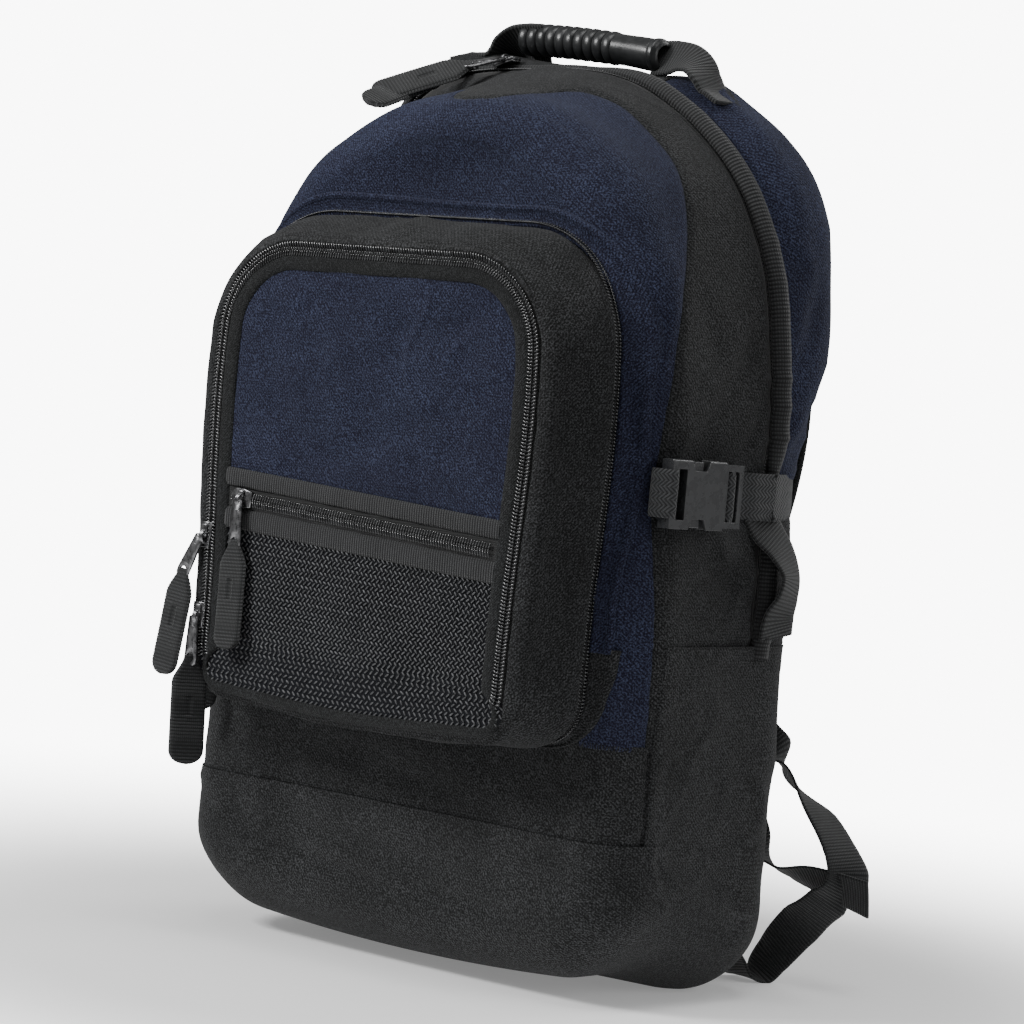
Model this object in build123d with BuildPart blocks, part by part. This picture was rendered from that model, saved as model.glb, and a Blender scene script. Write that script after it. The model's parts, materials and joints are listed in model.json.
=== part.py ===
from build123d import *
import math
import os

# School backpack. Millimetres, +Z up. The front faces -Y and the wearer's back is at +Y.
# The origin is the middle of the flat base that the bag stands on.

# ---- Driving dimensions: main bag ----------------------------------------------------------
HALF_W = 158
SPRING_Z = 283
SIDE_R = 358
CROWN_R = 149.5
FRONT_Y = -75
ZIP_Y = 25
BACK_Y = 74
FABRIC = 2
CORNER_R = 50
EDGE_R = 28
BASE_TOP = 87
FOLD_Z = 128
ZIP_END_Z = 190
STRAP_Z = 269
WEBBING = 25
WEBBING_T = 1.6
BACK_T = 8
TAPE = 8
GAP = 0.3
SKIN_GAP = 0.5
STRAP_LIFT = 1.8
FAR = 600

# ---- Driving dimensions: front pocket and organiser ----------------------------------------
# Each outline is half width, bottom height, top height, top corner radius, bottom corner radius.
POCKET_REAR = (130, 136, 398, 60, 24)
POCKET_FRONT = (116, 138, 388, 54, 22)
POCKET_REAR_Y = -77.8
POCKET_ZIP_Y = -84
POCKET_FRONT_Y = -119
ORGANISER_BACK_Y = -97
RIM = 6
COIL_W = 2.8
BINDING = 8
COVER_T = 1.4
LINING_T = 1
COVER_LOW = 150
MESH_TOP = 230.5
MESH_ZIP_TOP = 244
BAND_TOP = 254
BAND_TILT = 3.15

# ---- Driving dimensions: zip sliders, buckles, straps and handle ---------------------------
SLIDER_H = 3.2
PULL_LIFT = 4.2
TAB_W = 8
TAB_L = 21
TAB_T = 1.6
PULLER_W = 17
PULLER_L = 54
PULLER_T = 3.2
BUCKLE_TILT = 8
BUCKLE_W = 35.6
BUCKLE_T = 9
PAD_W = 58
PAD_T = 12
GRIP_R = 8
GRIP_L = 96
HANDLE_Y = 44
HANDLE_Z = 505

SIDE_CX = SIDE_R - HALF_W
CROWN_RISE = math.sqrt((SIDE_R - CROWN_R) ** 2 - SIDE_CX ** 2)
CROWN_Z = SPRING_Z + CROWN_RISE
SHOULDER = math.degrees(math.atan2(CROWN_RISE, SIDE_CX))
SEAM_Y = FRONT_Y + EDGE_R
GUSSET_END_Y = BACK_Y - BACK_T

os.makedirs("parts", exist_ok=True)


def save(builder, label):
    """Labels a finished piece and writes it as its own STEP file."""
    builder.part.label = label
    export_step(builder.part, f"parts/{label}.step")


def wall(y):
    """Plane facing the front at depth y: local x is X, local y is Z, and extrude runs forward."""
    return Plane(origin=(0, y, 0), x_dir=(1, 0, 0), z_dir=(0, -1, 0))


def clip(x=(-FAR, FAR), y=(-FAR, FAR), z=(-FAR, FAR)):
    """Keeps what the current part has inside a box given by its limits."""
    with Locations(((x[0] + x[1]) / 2, (y[0] + y[1]) / 2, (z[0] + z[1]) / 2)):
        Box(x[1] - x[0], y[1] - y[0], z[1] - z[0], mode=Mode.INTERSECT)


# ---- Main shell ----------------------------------------------------------------------------
def arch_block(inset, front, back):
    """Solid with the bag's three-centred arch outline, drawn in by inset, between two depths."""
    half = HALF_W - inset
    sweep = 180 - 2 * SHOULDER
    with BuildPart() as block:
        with BuildSketch(wall(back)) as outline:
            with BuildLine():
                Line((-half, inset), (half, inset))
                Line((half, inset), (half, SPRING_Z))
                CenterArc((-SIDE_CX, SPRING_Z), SIDE_R - inset, 0, SHOULDER)
                CenterArc((0, CROWN_Z), CROWN_R - inset, SHOULDER, sweep)
                CenterArc((SIDE_CX, SPRING_Z), SIDE_R - inset, 180 - SHOULDER, SHOULDER)
                Line((-half, SPRING_Z), (-half, inset))
            make_face()
            fillet(outline.vertices().group_by(Axis.Y)[0], CORNER_R - inset)
        extrude(amount=back - front)
    return block.part


def soft_box(inset):
    """The bag's arch outline with its front edge rounded."""
    with BuildPart() as block:
        add(arch_block(inset, FRONT_Y + inset, GUSSET_END_Y))
        fillet(block.faces().sort_by(Axis.Y)[0].edges(), EDGE_R - inset)
    return block.part


def arch_ring(outer, inner, front, back):
    """Band that follows the arch outline between two insets."""
    with BuildPart() as ring:
        add(arch_block(outer, front, back))
        add(arch_block(inner, front, back), mode=Mode.SUBTRACT)
    return ring.part


FOLD = Plane(
    origin=(0, FRONT_Y, FOLD_Z),
    x_dir=(1, 0, 0),
    z_dir=(0, FOLD_Z - ZIP_END_Z, ZIP_Y - FRONT_Y),
)

with BuildPart() as shell:
    add(soft_box(0))
    add(soft_box(FABRIC), mode=Mode.SUBTRACT)

with BuildPart() as base_panel:
    add(shell.part)
    clip(z=(-1, BASE_TOP))
save(base_panel, "base_panel")

BOARD_MARGIN = 52
BOARD_T = 2
with BuildPart() as base_board:
    with BuildSketch(Plane.XY.offset(FABRIC + GAP)):
        with Locations((0, (SEAM_Y + GUSSET_END_Y) / 2)):
            RectangleRounded(2 * (HALF_W - BOARD_MARGIN), GUSSET_END_Y - SEAM_Y - 2, 6)
    extrude(amount=BOARD_T)
save(base_board, "base_board")

with BuildPart() as lower_front_panel:
    add(shell.part)
    clip(y=(-FAR, SEAM_Y), z=(BASE_TOP, FAR))
    split(bisect_by=FOLD.offset(-GAP), keep=Keep.BOTTOM)
save(lower_front_panel, "lower_front_panel")

# The black side panels reach the fold in front of the zip and the strap behind it.
with BuildPart() as side_front:
    add(shell.part)
    clip(y=(SEAM_Y, ZIP_Y - TAPE), z=(BASE_TOP, FAR))
    split(bisect_by=FOLD.offset(-GAP), keep=Keep.BOTTOM)

with BuildPart() as side_middle:
    add(shell.part)
    clip(y=(ZIP_Y - TAPE, ZIP_Y + TAPE), z=(BASE_TOP, ZIP_END_Z - 2 * GAP))

with BuildPart() as side_panels:
    add(shell.part)
    clip(y=(ZIP_Y + TAPE, GUSSET_END_Y), z=(BASE_TOP, STRAP_Z - WEBBING / 2))
    add(side_middle.part)
    add(side_front.part)
save(side_panels, "side_panels")

with BuildPart() as rear_gusset:
    add(shell.part)
    clip(y=(ZIP_Y + TAPE, GUSSET_END_Y), z=(STRAP_Z - WEBBING / 2, FAR))
save(rear_gusset, "rear_gusset")

with BuildPart() as front_panel:
    add(shell.part)
    clip(y=(-FAR, SEAM_Y), z=(BASE_TOP, FAR))
    split(bisect_by=FOLD.offset(GAP), keep=Keep.TOP)
save(front_panel, "front_panel")

with BuildPart() as arch_band:
    add(shell.part)
    clip(y=(SEAM_Y, ZIP_Y - TAPE), z=(BASE_TOP, FAR))
    split(bisect_by=FOLD.offset(GAP), keep=Keep.TOP)
save(arch_band, "arch_band")

# ---- Main zip: a tape and half of the coil on each side of the opening ---------------------
TAPE_TOP = 0.5
COIL_TOP = -1.2
MAIN_COIL = 3.5


def zip_half(front, back, coil_front, coil_back, label):
    """Tape and half coil round the arch, above the zip's end stops."""
    with BuildPart() as half:
        add(arch_ring(TAPE_TOP, FABRIC, front, back))
        add(arch_ring(COIL_TOP, TAPE_TOP, coil_front, coil_back))
        clip(z=(ZIP_END_Z, FAR))
    save(half, label)


zip_half(ZIP_Y - TAPE, ZIP_Y - GAP, ZIP_Y - MAIN_COIL, ZIP_Y - GAP, "main_zip_front")
zip_half(ZIP_Y + GAP, ZIP_Y + TAPE, ZIP_Y + GAP, ZIP_Y + MAIN_COIL, "main_zip_rear")

# ---- Back panel, pads, strap yoke and laptop divider ---------------------------------------
with BuildPart() as back_panel:
    add(arch_block(0, GUSSET_END_Y, BACK_Y))
    fillet(back_panel.faces().sort_by(Axis.Y)[-1].edges(), BACK_T / 2)
save(back_panel, "back_panel")

BACK_PAD_T = 7
BACK_PAD_W = 84
BACK_PAD_H = 250
BACK_PAD_X = 62
BACK_PAD_Z = 240
LUMBAR_H = 56
LUMBAR_Z = 74
BACK_PAD_CORNER = 22
BACK_PAD_EDGE = 3
with BuildPart() as back_pads:
    with BuildSketch(wall(BACK_Y + BACK_PAD_T)):
        with Locations((-BACK_PAD_X, BACK_PAD_Z), (BACK_PAD_X, BACK_PAD_Z)):
            RectangleRounded(BACK_PAD_W, BACK_PAD_H, BACK_PAD_CORNER)
        with Locations((0, LUMBAR_Z)):
            RectangleRounded(2 * BACK_PAD_X + BACK_PAD_W, LUMBAR_H, BACK_PAD_CORNER)
    extrude(amount=BACK_PAD_T)
    fillet(back_pads.faces().group_by(Axis.Y)[-1].edges(), BACK_PAD_EDGE)
save(back_pads, "back_pads")

YOKE_T = 2
YOKE_W = 200
YOKE_H = 44
YOKE_Z = 440
YOKE_ANGLE = 70
with BuildPart() as strap_yoke:
    with BuildSketch(wall(BACK_Y + YOKE_T)):
        with Locations((0, YOKE_Z)):
            Trapezoid(YOKE_W, YOKE_H, YOKE_ANGLE)
    extrude(amount=YOKE_T)
save(strap_yoke, "strap_yoke")

DIVIDER_Y = ZIP_Y + TAPE + 5
DIVIDER_TOP = 372
with BuildPart() as laptop_divider:
    add(arch_block(FABRIC + 1, DIVIDER_Y, DIVIDER_Y + FABRIC))
    clip(z=(FABRIC + BOARD_T + 2 * GAP, DIVIDER_TOP))
save(laptop_divider, "laptop_divider")

# ---- Side pockets: a flat sleeve on each side, open at the top -----------------------------
SLEEVE_GAP = 4.8
SLEEVE_T = 1.6
SLEEVE_FRONT = SEAM_Y + 2
SLEEVE_BACK = GUSSET_END_Y - 2
SLEEVE_SEAM = 4


def side_pocket(side, label):
    """Sleeve closed along its two edges and its bottom, standing off the side panel."""
    depth = SLEEVE_BACK - SLEEVE_FRONT
    middle = (SLEEVE_FRONT + SLEEVE_BACK) / 2
    inner = HALF_W + GAP
    with BuildPart() as sleeve:
        with BuildSketch(Plane.XY.offset(BASE_TOP)):
            with Locations((side * (inner + (SLEEVE_GAP + SLEEVE_T) / 2), middle)):
                Rectangle(SLEEVE_GAP + SLEEVE_T, depth)
        extrude(amount=ZIP_END_Z - BASE_TOP)
        with BuildSketch(Plane.XY.offset(BASE_TOP + SLEEVE_SEAM)):
            with Locations((side * (inner + SLEEVE_GAP / 2), middle)):
                Rectangle(SLEEVE_GAP, depth - 2 * SLEEVE_SEAM)
        extrude(amount=ZIP_END_Z - BASE_TOP, mode=Mode.SUBTRACT)
    save(sleeve, label)


side_pocket(-1, "side_pocket_left")
side_pocket(1, "side_pocket_right")


# ---- Front pocket and organiser ------------------------------------------------------------
def pocket_sketch(spec, inset, y):
    """The pocket's rounded outline, drawn in by inset, at depth y."""
    half, low, high, top_r, bottom_r = spec
    with BuildSketch(wall(y)) as outline:
        with Locations((0, (low + high) / 2)):
            Rectangle(2 * (half - inset), high - low - 2 * inset)
        fillet(outline.vertices().group_by(Axis.Y)[-1], top_r - inset)
        fillet(outline.vertices().group_by(Axis.Y)[0], bottom_r - inset)
    return outline.sketch


def pocket_slab(spec, inset, front, back):
    """Solid plate with the pocket's outline between two depths."""
    with BuildPart() as slab:
        extrude(pocket_sketch(spec, inset, back), amount=back - front, dir=(0, -1, 0))
    return slab.part


def pocket_ring(spec, outer, inner, front, back):
    """Flat ring with the pocket's outline between two insets and two depths."""
    with BuildPart() as ring:
        add(pocket_slab(spec, outer, front, back))
        add(pocket_slab(spec, inner, front, back), mode=Mode.SUBTRACT)
    return ring.part


PIPING_OUT = -4
PIPING_IN = 1
with BuildPart() as pocket_piping:
    add(pocket_ring(POCKET_REAR, PIPING_OUT, PIPING_IN, POCKET_REAR_Y + GAP, FRONT_Y))
save(pocket_piping, "pocket_piping")

with BuildPart() as front_pocket_zip:
    add(pocket_ring(POCKET_REAR, 0, FABRIC, POCKET_ZIP_Y, POCKET_REAR_Y))
save(front_pocket_zip, "front_pocket_zip")

RIM_Y = POCKET_FRONT_Y + FABRIC


def pocket_taper(inset):
    """Solid that narrows from the pocket's rear outline to its front outline."""
    rear = pocket_sketch(POCKET_REAR, inset, POCKET_ZIP_Y).face()
    front = pocket_sketch(POCKET_FRONT, inset, RIM_Y).face()
    with BuildPart() as taper:
        loft([rear, front])
    return taper.part


with BuildPart() as pocket_gusset:
    add(pocket_taper(0))
    add(pocket_taper(FABRIC), mode=Mode.SUBTRACT)
    add(pocket_ring(POCKET_FRONT, 0, RIM, POCKET_FRONT_Y, RIM_Y))
save(pocket_gusset, "pocket_gusset")

with BuildPart() as organiser_back:
    add(pocket_slab(POCKET_FRONT, FABRIC + SKIN_GAP, ORGANISER_BACK_Y - COVER_T, ORGANISER_BACK_Y))
save(organiser_back, "organiser_back")

with BuildPart() as organiser_zip_outer:
    add(pocket_ring(POCKET_FRONT, RIM, RIM + COIL_W, POCKET_FRONT_Y, RIM_Y))
    clip(z=(COVER_LOW, FAR))
save(organiser_zip_outer, "organiser_zip_outer")

COVER_EDGE = RIM + COIL_W + 2 * GAP
with BuildPart() as organiser_zip_inner:
    add(pocket_ring(POCKET_FRONT, COVER_EDGE, COVER_EDGE + COIL_W, POCKET_FRONT_Y, RIM_Y))
    clip(z=(COVER_LOW, FAR))
save(organiser_zip_inner, "organiser_zip_inner")

FACE_EDGE = COVER_EDGE + COIL_W
FACE_INSET = FACE_EDGE + BINDING
COVER_BACK_Y = POCKET_FRONT_Y + COVER_T
with BuildPart() as cover_lining:
    add(pocket_slab(POCKET_FRONT, FACE_EDGE, COVER_BACK_Y, COVER_BACK_Y + LINING_T))
save(cover_lining, "cover_lining")

with BuildPart() as cover_binding:
    add(pocket_ring(POCKET_FRONT, FACE_EDGE, FACE_INSET, POCKET_FRONT_Y, COVER_BACK_Y))
save(cover_binding, "cover_binding")


def cover_layer(low, high, front, label):
    """A layer of the organiser's cover between two heights, on the slope of its band."""
    with BuildPart() as layer:
        add(pocket_slab(POCKET_FRONT, FACE_INSET, front, COVER_BACK_Y))
        slope = Location((0, 0, BAND_TOP), (0, BAND_TILT, 0))
        with Locations(slope * Location((0, 0, (low + high) / 2 - BAND_TOP))):
            Box(FAR, FAR, high - low, mode=Mode.INTERSECT)
    save(layer, label)


cover_layer(BAND_TOP, FAR, POCKET_FRONT_Y, "cover_panel")
cover_layer(MESH_ZIP_TOP, BAND_TOP, POCKET_FRONT_Y - GAP, "cover_tape")
cover_layer(MESH_TOP, MESH_ZIP_TOP, POCKET_FRONT_Y - GAP, "mesh_zip")
cover_layer(0, MESH_TOP, POCKET_FRONT_Y, "mesh_pocket")


# ---- Zip sliders and their pulls -----------------------------------------------------------
# Every slider stands on a plane whose z leaves the zip and whose x is the way its pull points.
SLIDER_CORNER = 2.5
BRIDGE_X = -2
BRIDGE_L = 6
BRIDGE_W = 2.6
TAB_START = 2
TAB_CORNER = 2
TAB_HOLE_X = 8
TAB_HOLE_R = 1.6
PULLER_LAP = 3
PULLER_CORNER = 6


def slider(plane, along, across, label):
    """Slider body with the bridge that holds its pull."""
    with BuildPart(plane.offset(GAP)) as body:
        Box(along, across, SLIDER_H, align=(Align.CENTER, Align.CENTER, Align.MIN))
        fillet(body.edges().filter_by(Axis(plane.origin, plane.z_dir)), SLIDER_CORNER)
        with Locations((BRIDGE_X, 0, SLIDER_H)):
            Box(BRIDGE_L, BRIDGE_W, BRIDGE_W, align=(Align.CENTER, Align.CENTER, Align.MIN))
    save(body, label)


def pull(plane, label):
    """Metal tab and the webbing puller looped through it."""
    lift = plane.offset(PULL_LIFT)
    with BuildPart() as piece:
        with BuildSketch(lift):
            with Locations((TAB_START + TAB_L / 2, 0)):
                RectangleRounded(TAB_L, TAB_W, TAB_CORNER)
            with Locations((TAB_HOLE_X, 0)):
                Circle(TAB_HOLE_R, mode=Mode.SUBTRACT)
        extrude(amount=TAB_T)
        with BuildSketch(lift.offset((TAB_T - PULLER_T) / 2)):
            with Locations((TAB_L - PULLER_LAP + PULLER_L / 2, 0)):
                RectangleRounded(PULLER_L, PULLER_W, PULLER_CORNER)
        extrude(amount=PULLER_T)
    save(piece, label)


def zip_plane(origin, hang, out):
    """Plane of a slider from its place, the way its pull hangs and the way out."""
    return Plane(origin=origin, x_dir=hang, z_dir=out)


SLIDER_L = 14
CROSS_W = 9
COIL_SLIDER_W = 8
SPLAY = math.radians(28)
UZIP_X = -(POCKET_FRONT[0] - RIM / 2 - 1.2)
UPPER_PULL_X = UZIP_X - 1
LOWER_PULL_X = UZIP_X - 5
SIDE_SLIDER_Y = POCKET_REAR_Y - 5
SIDE_PULL_Y = POCKET_REAR_Y - 9.5
UPPER_UZIP_Z = 220
LOWER_UZIP_Z = 176
MESH_SLIDER_X = -86
SLOPE = math.radians(BAND_TILT)
MESH_SLIDER_Z = (MESH_TOP + MESH_ZIP_TOP) / 2 - MESH_SLIDER_X * math.sin(SLOPE)
POCKET_SLIDER_Z = 202
CROWN_SLIDERS = (119, 109)
DOWN = (0, 0, -1)
FORWARD = (0, -1, 0)

mesh_spot = (MESH_SLIDER_X, POCKET_FRONT_Y - GAP, MESH_SLIDER_Z)
across_band = (-math.sin(SLOPE), 0, -math.cos(SLOPE))
slider(zip_plane(mesh_spot, across_band, FORWARD), CROSS_W, SLIDER_L, "mesh_zip_slider")
pull(zip_plane(mesh_spot, DOWN, FORWARD), "mesh_zip_pull")

upper_plane = zip_plane((UZIP_X, POCKET_FRONT_Y, UPPER_UZIP_Z), DOWN, FORWARD)
slider(upper_plane, SLIDER_L, COIL_SLIDER_W, "organiser_slider_upper")
splayed = (-math.sin(SPLAY), 0, -math.cos(SPLAY))
pull(zip_plane((UPPER_PULL_X, POCKET_FRONT_Y, UPPER_UZIP_Z), splayed, FORWARD), "organiser_pull_upper")

lower_plane = zip_plane((UZIP_X, POCKET_FRONT_Y, LOWER_UZIP_Z), DOWN, FORWARD)
slider(lower_plane, SLIDER_L, COIL_SLIDER_W, "organiser_slider_lower")
pull(zip_plane((LOWER_PULL_X, POCKET_FRONT_Y, LOWER_UZIP_Z), DOWN, FORWARD), "organiser_pull_lower")

side_plane = zip_plane((-POCKET_REAR[0], SIDE_SLIDER_Y, POCKET_SLIDER_Z), DOWN, (-1, 0, 0))
slider(side_plane, SLIDER_L, COIL_SLIDER_W, "pocket_zip_slider")
pull_plane = zip_plane((-POCKET_REAR[0], SIDE_PULL_Y, POCKET_SLIDER_Z), DOWN, (-1, 0, 0))
pull(pull_plane, "pocket_zip_pull")

for name, angle in zip(("left", "right"), CROWN_SLIDERS):
    out = (math.cos(math.radians(angle)), 0, math.sin(math.radians(angle)))
    reach = CROWN_R - COIL_TOP
    spot = (reach * out[0], ZIP_Y, CROWN_Z + reach * out[2])
    crown_plane = zip_plane(spot, FORWARD, out)
    slider(crown_plane, CROSS_W, SLIDER_L, f"main_zip_slider_{name}")
    pull(crown_plane, f"main_zip_pull_{name}")

# ---- Compression straps with side-release buckles ------------------------------------------
# Buckle sizes run from the buckle's middle: x rearwards, y across the webbing, z out of the bag.
TILT = math.radians(BUCKLE_TILT)
SLOT_Y = 13
PLATE = 2
PLAY = 0.4
FEMALE_FRONT = -14
FEMALE_SLOT = (-9.5, -4)
FEMALE_MOUTH = -1
FEMALE_BACK = 24
NOTCH_MOUTH = (-0.5, 12.5)
NOTCH_FLOOR = (1.7, 10.3)
NOTCH_DEPTH = 5.4
MALE_FRONT = FEMALE_BACK + PLAY
MALE_BACK = 37
MALE_Y = 16.5
MALE_SKIN = 1
MALE_SLOTS = ((26.5, 29), (31.5, 34))
TONGUE_FRONT = 4
TONGUE_Y = 3.5
TONGUE_Z = (3, 6)
PRONG_FRONT = 1
CATCH_X = (2.6, 9.6)
CATCH_Y = 17
RAIL_Y = 10
RAIL_W = 3


def buckle_plane(side):
    """Plane on the bag's front corner: local x runs rearwards and local z outwards."""
    lift = EDGE_R + 0.6
    x = HALF_W - EDGE_R + lift * math.cos(TILT)
    y = SEAM_Y - lift * math.sin(TILT)
    rearward = (side * math.sin(TILT), math.cos(TILT), 0)
    return Plane((side * x, y, STRAP_Z), rearward, (side * math.cos(TILT), -math.sin(TILT), 0))


def block(x0, x1, y0, y1, z0, z1, mode=Mode.ADD):
    """Box from its limits on the current plane."""
    with Locations(((x0 + x1) / 2, (y0 + y1) / 2, (z0 + z1) / 2)):
        Box(x1 - x0, y1 - y0, z1 - z0, mode=mode)


for side, name in ((-1, "left"), (1, "right")):
    half = BUCKLE_W / 2
    with BuildPart(buckle_plane(side)) as female:
        block(FEMALE_FRONT, FEMALE_BACK, -half, half, 0, BUCKLE_T)
        fillet(female.edges().filter_by(Axis.Z, reverse=True).sort_by(Axis.Z)[-2:], 1.5)
        block(FEMALE_MOUTH, FEMALE_BACK, -half - 1, half + 1, PLATE, BUCKLE_T - PLATE, Mode.SUBTRACT)
        block(*FEMALE_SLOT, -SLOT_Y, SLOT_Y, -1, BUCKLE_T + 1, Mode.SUBTRACT)
        with BuildSketch(buckle_plane(side)):
            for edge in (-half, half):
                floor = edge - math.copysign(NOTCH_DEPTH, edge)
                with BuildLine():
                    Polyline(
                        (NOTCH_MOUTH[0], 1.02 * edge),
                        (NOTCH_FLOOR[0], floor),
                        (NOTCH_FLOOR[1], floor),
                        (NOTCH_MOUTH[1], 1.02 * edge),
                        close=True,
                    )
                make_face()
        extrude(amount=BUCKLE_T, mode=Mode.SUBTRACT)
    save(female, f"buckle_female_{name}")

    with BuildPart(buckle_plane(side)) as male:
        block(MALE_FRONT, MALE_BACK, -MALE_Y, MALE_Y, MALE_SKIN, BUCKLE_T - MALE_SKIN)
        for slot in MALE_SLOTS:
            block(*slot, -SLOT_Y, SLOT_Y, 0, BUCKLE_T, Mode.SUBTRACT)
        block(TONGUE_FRONT, MALE_FRONT, -TONGUE_Y, TONGUE_Y, *TONGUE_Z)
    save(male, f"buckle_male_{name}")

    for sign, place in ((-side, "lower"), (side, "upper")):
        rail = (sign * RAIL_Y - RAIL_W / 2, sign * RAIL_Y + RAIL_W / 2)
        catch = sorted((sign * (RAIL_Y + RAIL_W / 2), sign * CATCH_Y))
        with BuildPart(buckle_plane(side)) as prong:
            block(PRONG_FRONT, FEMALE_BACK, *rail, PLATE + PLAY, BUCKLE_T - PLATE - PLAY)
            block(*CATCH_X, *catch, PLATE + PLAY, BUCKLE_T - PLATE - PLAY)
        save(prong, f"buckle_prong_{name}_{place}")

STRAP_BAND = (STRAP_Z - WEBBING / 2, STRAP_Z + WEBBING / 2)
TAIL_TOP = STRAP_BAND[0] + 2
TAIL_LOW = 195
TAIL_Y = 32
STUB_END_Y = -66
REAR_START_Y = -14
with BuildPart() as belt:
    add(soft_box(-STRAP_LIFT - WEBBING_T))
    add(soft_box(-STRAP_LIFT), mode=Mode.SUBTRACT)
    clip(z=STRAP_BAND)

for side, name in ((-1, "left"), (1, "right")):
    inner = POCKET_REAR[0] - PIPING_OUT + 1
    reach = sorted((side * inner, side * FAR))
    with BuildPart() as stub:
        add(belt.part)
        clip(x=reach, y=(-FAR, STUB_END_Y))
    save(stub, f"buckle_webbing_{name}")

    skin = HALF_W + STRAP_LIFT
    tail = sorted((side * (skin + WEBBING_T), side * (skin + 2 * WEBBING_T)))
    with BuildPart() as rear:
        add(belt.part)
        clip(x=reach, y=(REAR_START_Y, GUSSET_END_Y))
        with Locations(((tail[0] + tail[1]) / 2, TAIL_Y, (TAIL_TOP + TAIL_LOW) / 2)):
            Box(WEBBING_T, WEBBING, TAIL_TOP - TAIL_LOW)
    save(rear, f"compression_webbing_{name}")


# ---- Shoulder straps: a curved pad, its ladder lock and the lower webbing ------------------
def curved_strip(centre, radius, thick, start, sweep, x, width):
    """Strip bent to an arc in the YZ plane and extruded across its width."""
    with BuildPart() as strip:
        with BuildSketch(Plane.YZ.offset(x - width / 2)):
            with BuildLine():
                outer = CenterArc(centre, radius + thick, start, sweep)
                inner = CenterArc(centre, radius, start, sweep)
                Line(outer @ 0, inner @ 0)
                Line(outer @ 1, inner @ 1)
            make_face()
        extrude(amount=width)
    return strip.part


STRAP_X = 78
PAD_CENTRE = (-163, 304)
PAD_R = 275
PAD_TOP_ANGLE = 28.5
PAD_SWEEP = -50.5
LOOP_CENTRE = (70, 108)
LOOP_R = 56
LOOP_START = 68
LOOP_SWEEP = -145
LOCK_X = 17
LOCK_L = 24
LOCK_T = 4
LOCK_SLOTS = ((5, 9), (15, 19))

for side, name in ((-1, "left"), (1, "right")):
    with BuildPart() as pad:
        add(curved_strip(PAD_CENTRE, PAD_R, PAD_T, PAD_TOP_ANGLE, PAD_SWEEP, side * STRAP_X, PAD_W))
    save(pad, f"shoulder_strap_{name}")

    bottom = math.radians(PAD_TOP_ANGLE + PAD_SWEEP)
    reach = PAD_R + PAD_T / 2
    end_y = PAD_CENTRE[0] + reach * math.cos(bottom)
    end_z = PAD_CENTRE[1] + reach * math.sin(bottom)
    lock_plane = Plane(
        origin=(side * STRAP_X, end_y, end_z),
        x_dir=(1, 0, 0),
        z_dir=(0, math.cos(bottom), math.sin(bottom)),
    )
    with BuildPart(lock_plane) as lock:
        block(-LOCK_X, LOCK_X, 0, LOCK_L, -LOCK_T / 2, LOCK_T / 2)
        for slot in LOCK_SLOTS:
            block(-SLOT_Y, SLOT_Y, *slot, -LOCK_T, LOCK_T, Mode.SUBTRACT)
    save(lock, f"ladder_lock_{name}")

    with BuildPart() as loop:
        add(curved_strip(LOOP_CENTRE, LOOP_R, WEBBING_T, LOOP_START, LOOP_SWEEP,
                         side * STRAP_X, WEBBING))
    save(loop, f"lower_strap_webbing_{name}")

# ---- Carry handle --------------------------------------------------------------------------
RING_COUNT = 10
RING_PITCH = 6
RING_START = 5
RING_LIP = 0.8
GRIP_EDGE = 2.5
ANCHOR_X = (66, 92)
ANCHOR_BACK = 18
with BuildPart() as handle_grip:
    with BuildSketch(Plane.YZ.offset(-GRIP_L / 2)):
        with Locations((HANDLE_Y, HANDLE_Z)):
            Circle(GRIP_R)
    extrude(amount=GRIP_L)
    fillet(handle_grip.edges(), GRIP_EDGE)
    for ring in range(RING_COUNT):
        with BuildSketch(Plane.YZ.offset(RING_PITCH * ring - GRIP_L / 2 + RING_START)):
            with Locations((HANDLE_Y, HANDLE_Z)):
                Circle(GRIP_R + RING_LIP)
        extrude(amount=RING_PITCH / 2)
save(handle_grip, "handle_grip")

LEG_T = 2
LEG_TOP = HANDLE_Z - LEG_T
LEG_LOW = HANDLE_Z - 20
LEG_BEND = 6
LEG_REACH = 18
with BuildPart() as handle_webbing:
    with BuildSketch(wall(HANDLE_Y + WEBBING / 2)):
        for side in (-1, 1):
            start = side * GRIP_L / 2
            with BuildLine():
                Polyline(
                    (start, LEG_TOP),
                    (start + side * LEG_BEND, LEG_TOP),
                    (start + side * LEG_REACH, LEG_LOW),
                    (start + side * (LEG_REACH + LEG_T), LEG_LOW + LEG_T / 2),
                    (start + side * (LEG_BEND + LEG_T / 2), LEG_TOP + LEG_T),
                    (start, LEG_TOP + LEG_T),
                    close=True,
                )
            make_face()
    extrude(amount=WEBBING)
save(handle_webbing, "handle_webbing")

with BuildPart() as anchor_ring:
    add(arch_ring(-WEBBING_T, 0, HANDLE_Y - WEBBING / 2, HANDLE_Y + ANCHOR_BACK))
    clip(x=ANCHOR_X, z=(CROWN_Z, FAR))

with BuildPart() as handle_anchors:
    add(anchor_ring.part)
    mirror(anchor_ring.part, about=Plane.YZ)
save(handle_anchors, "handle_anchors")
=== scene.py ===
import json
import math

import bmesh
import bpy
import numpy as np
from mathutils import Matrix, Vector
from mathutils.bvhtree import BVHTree


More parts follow.
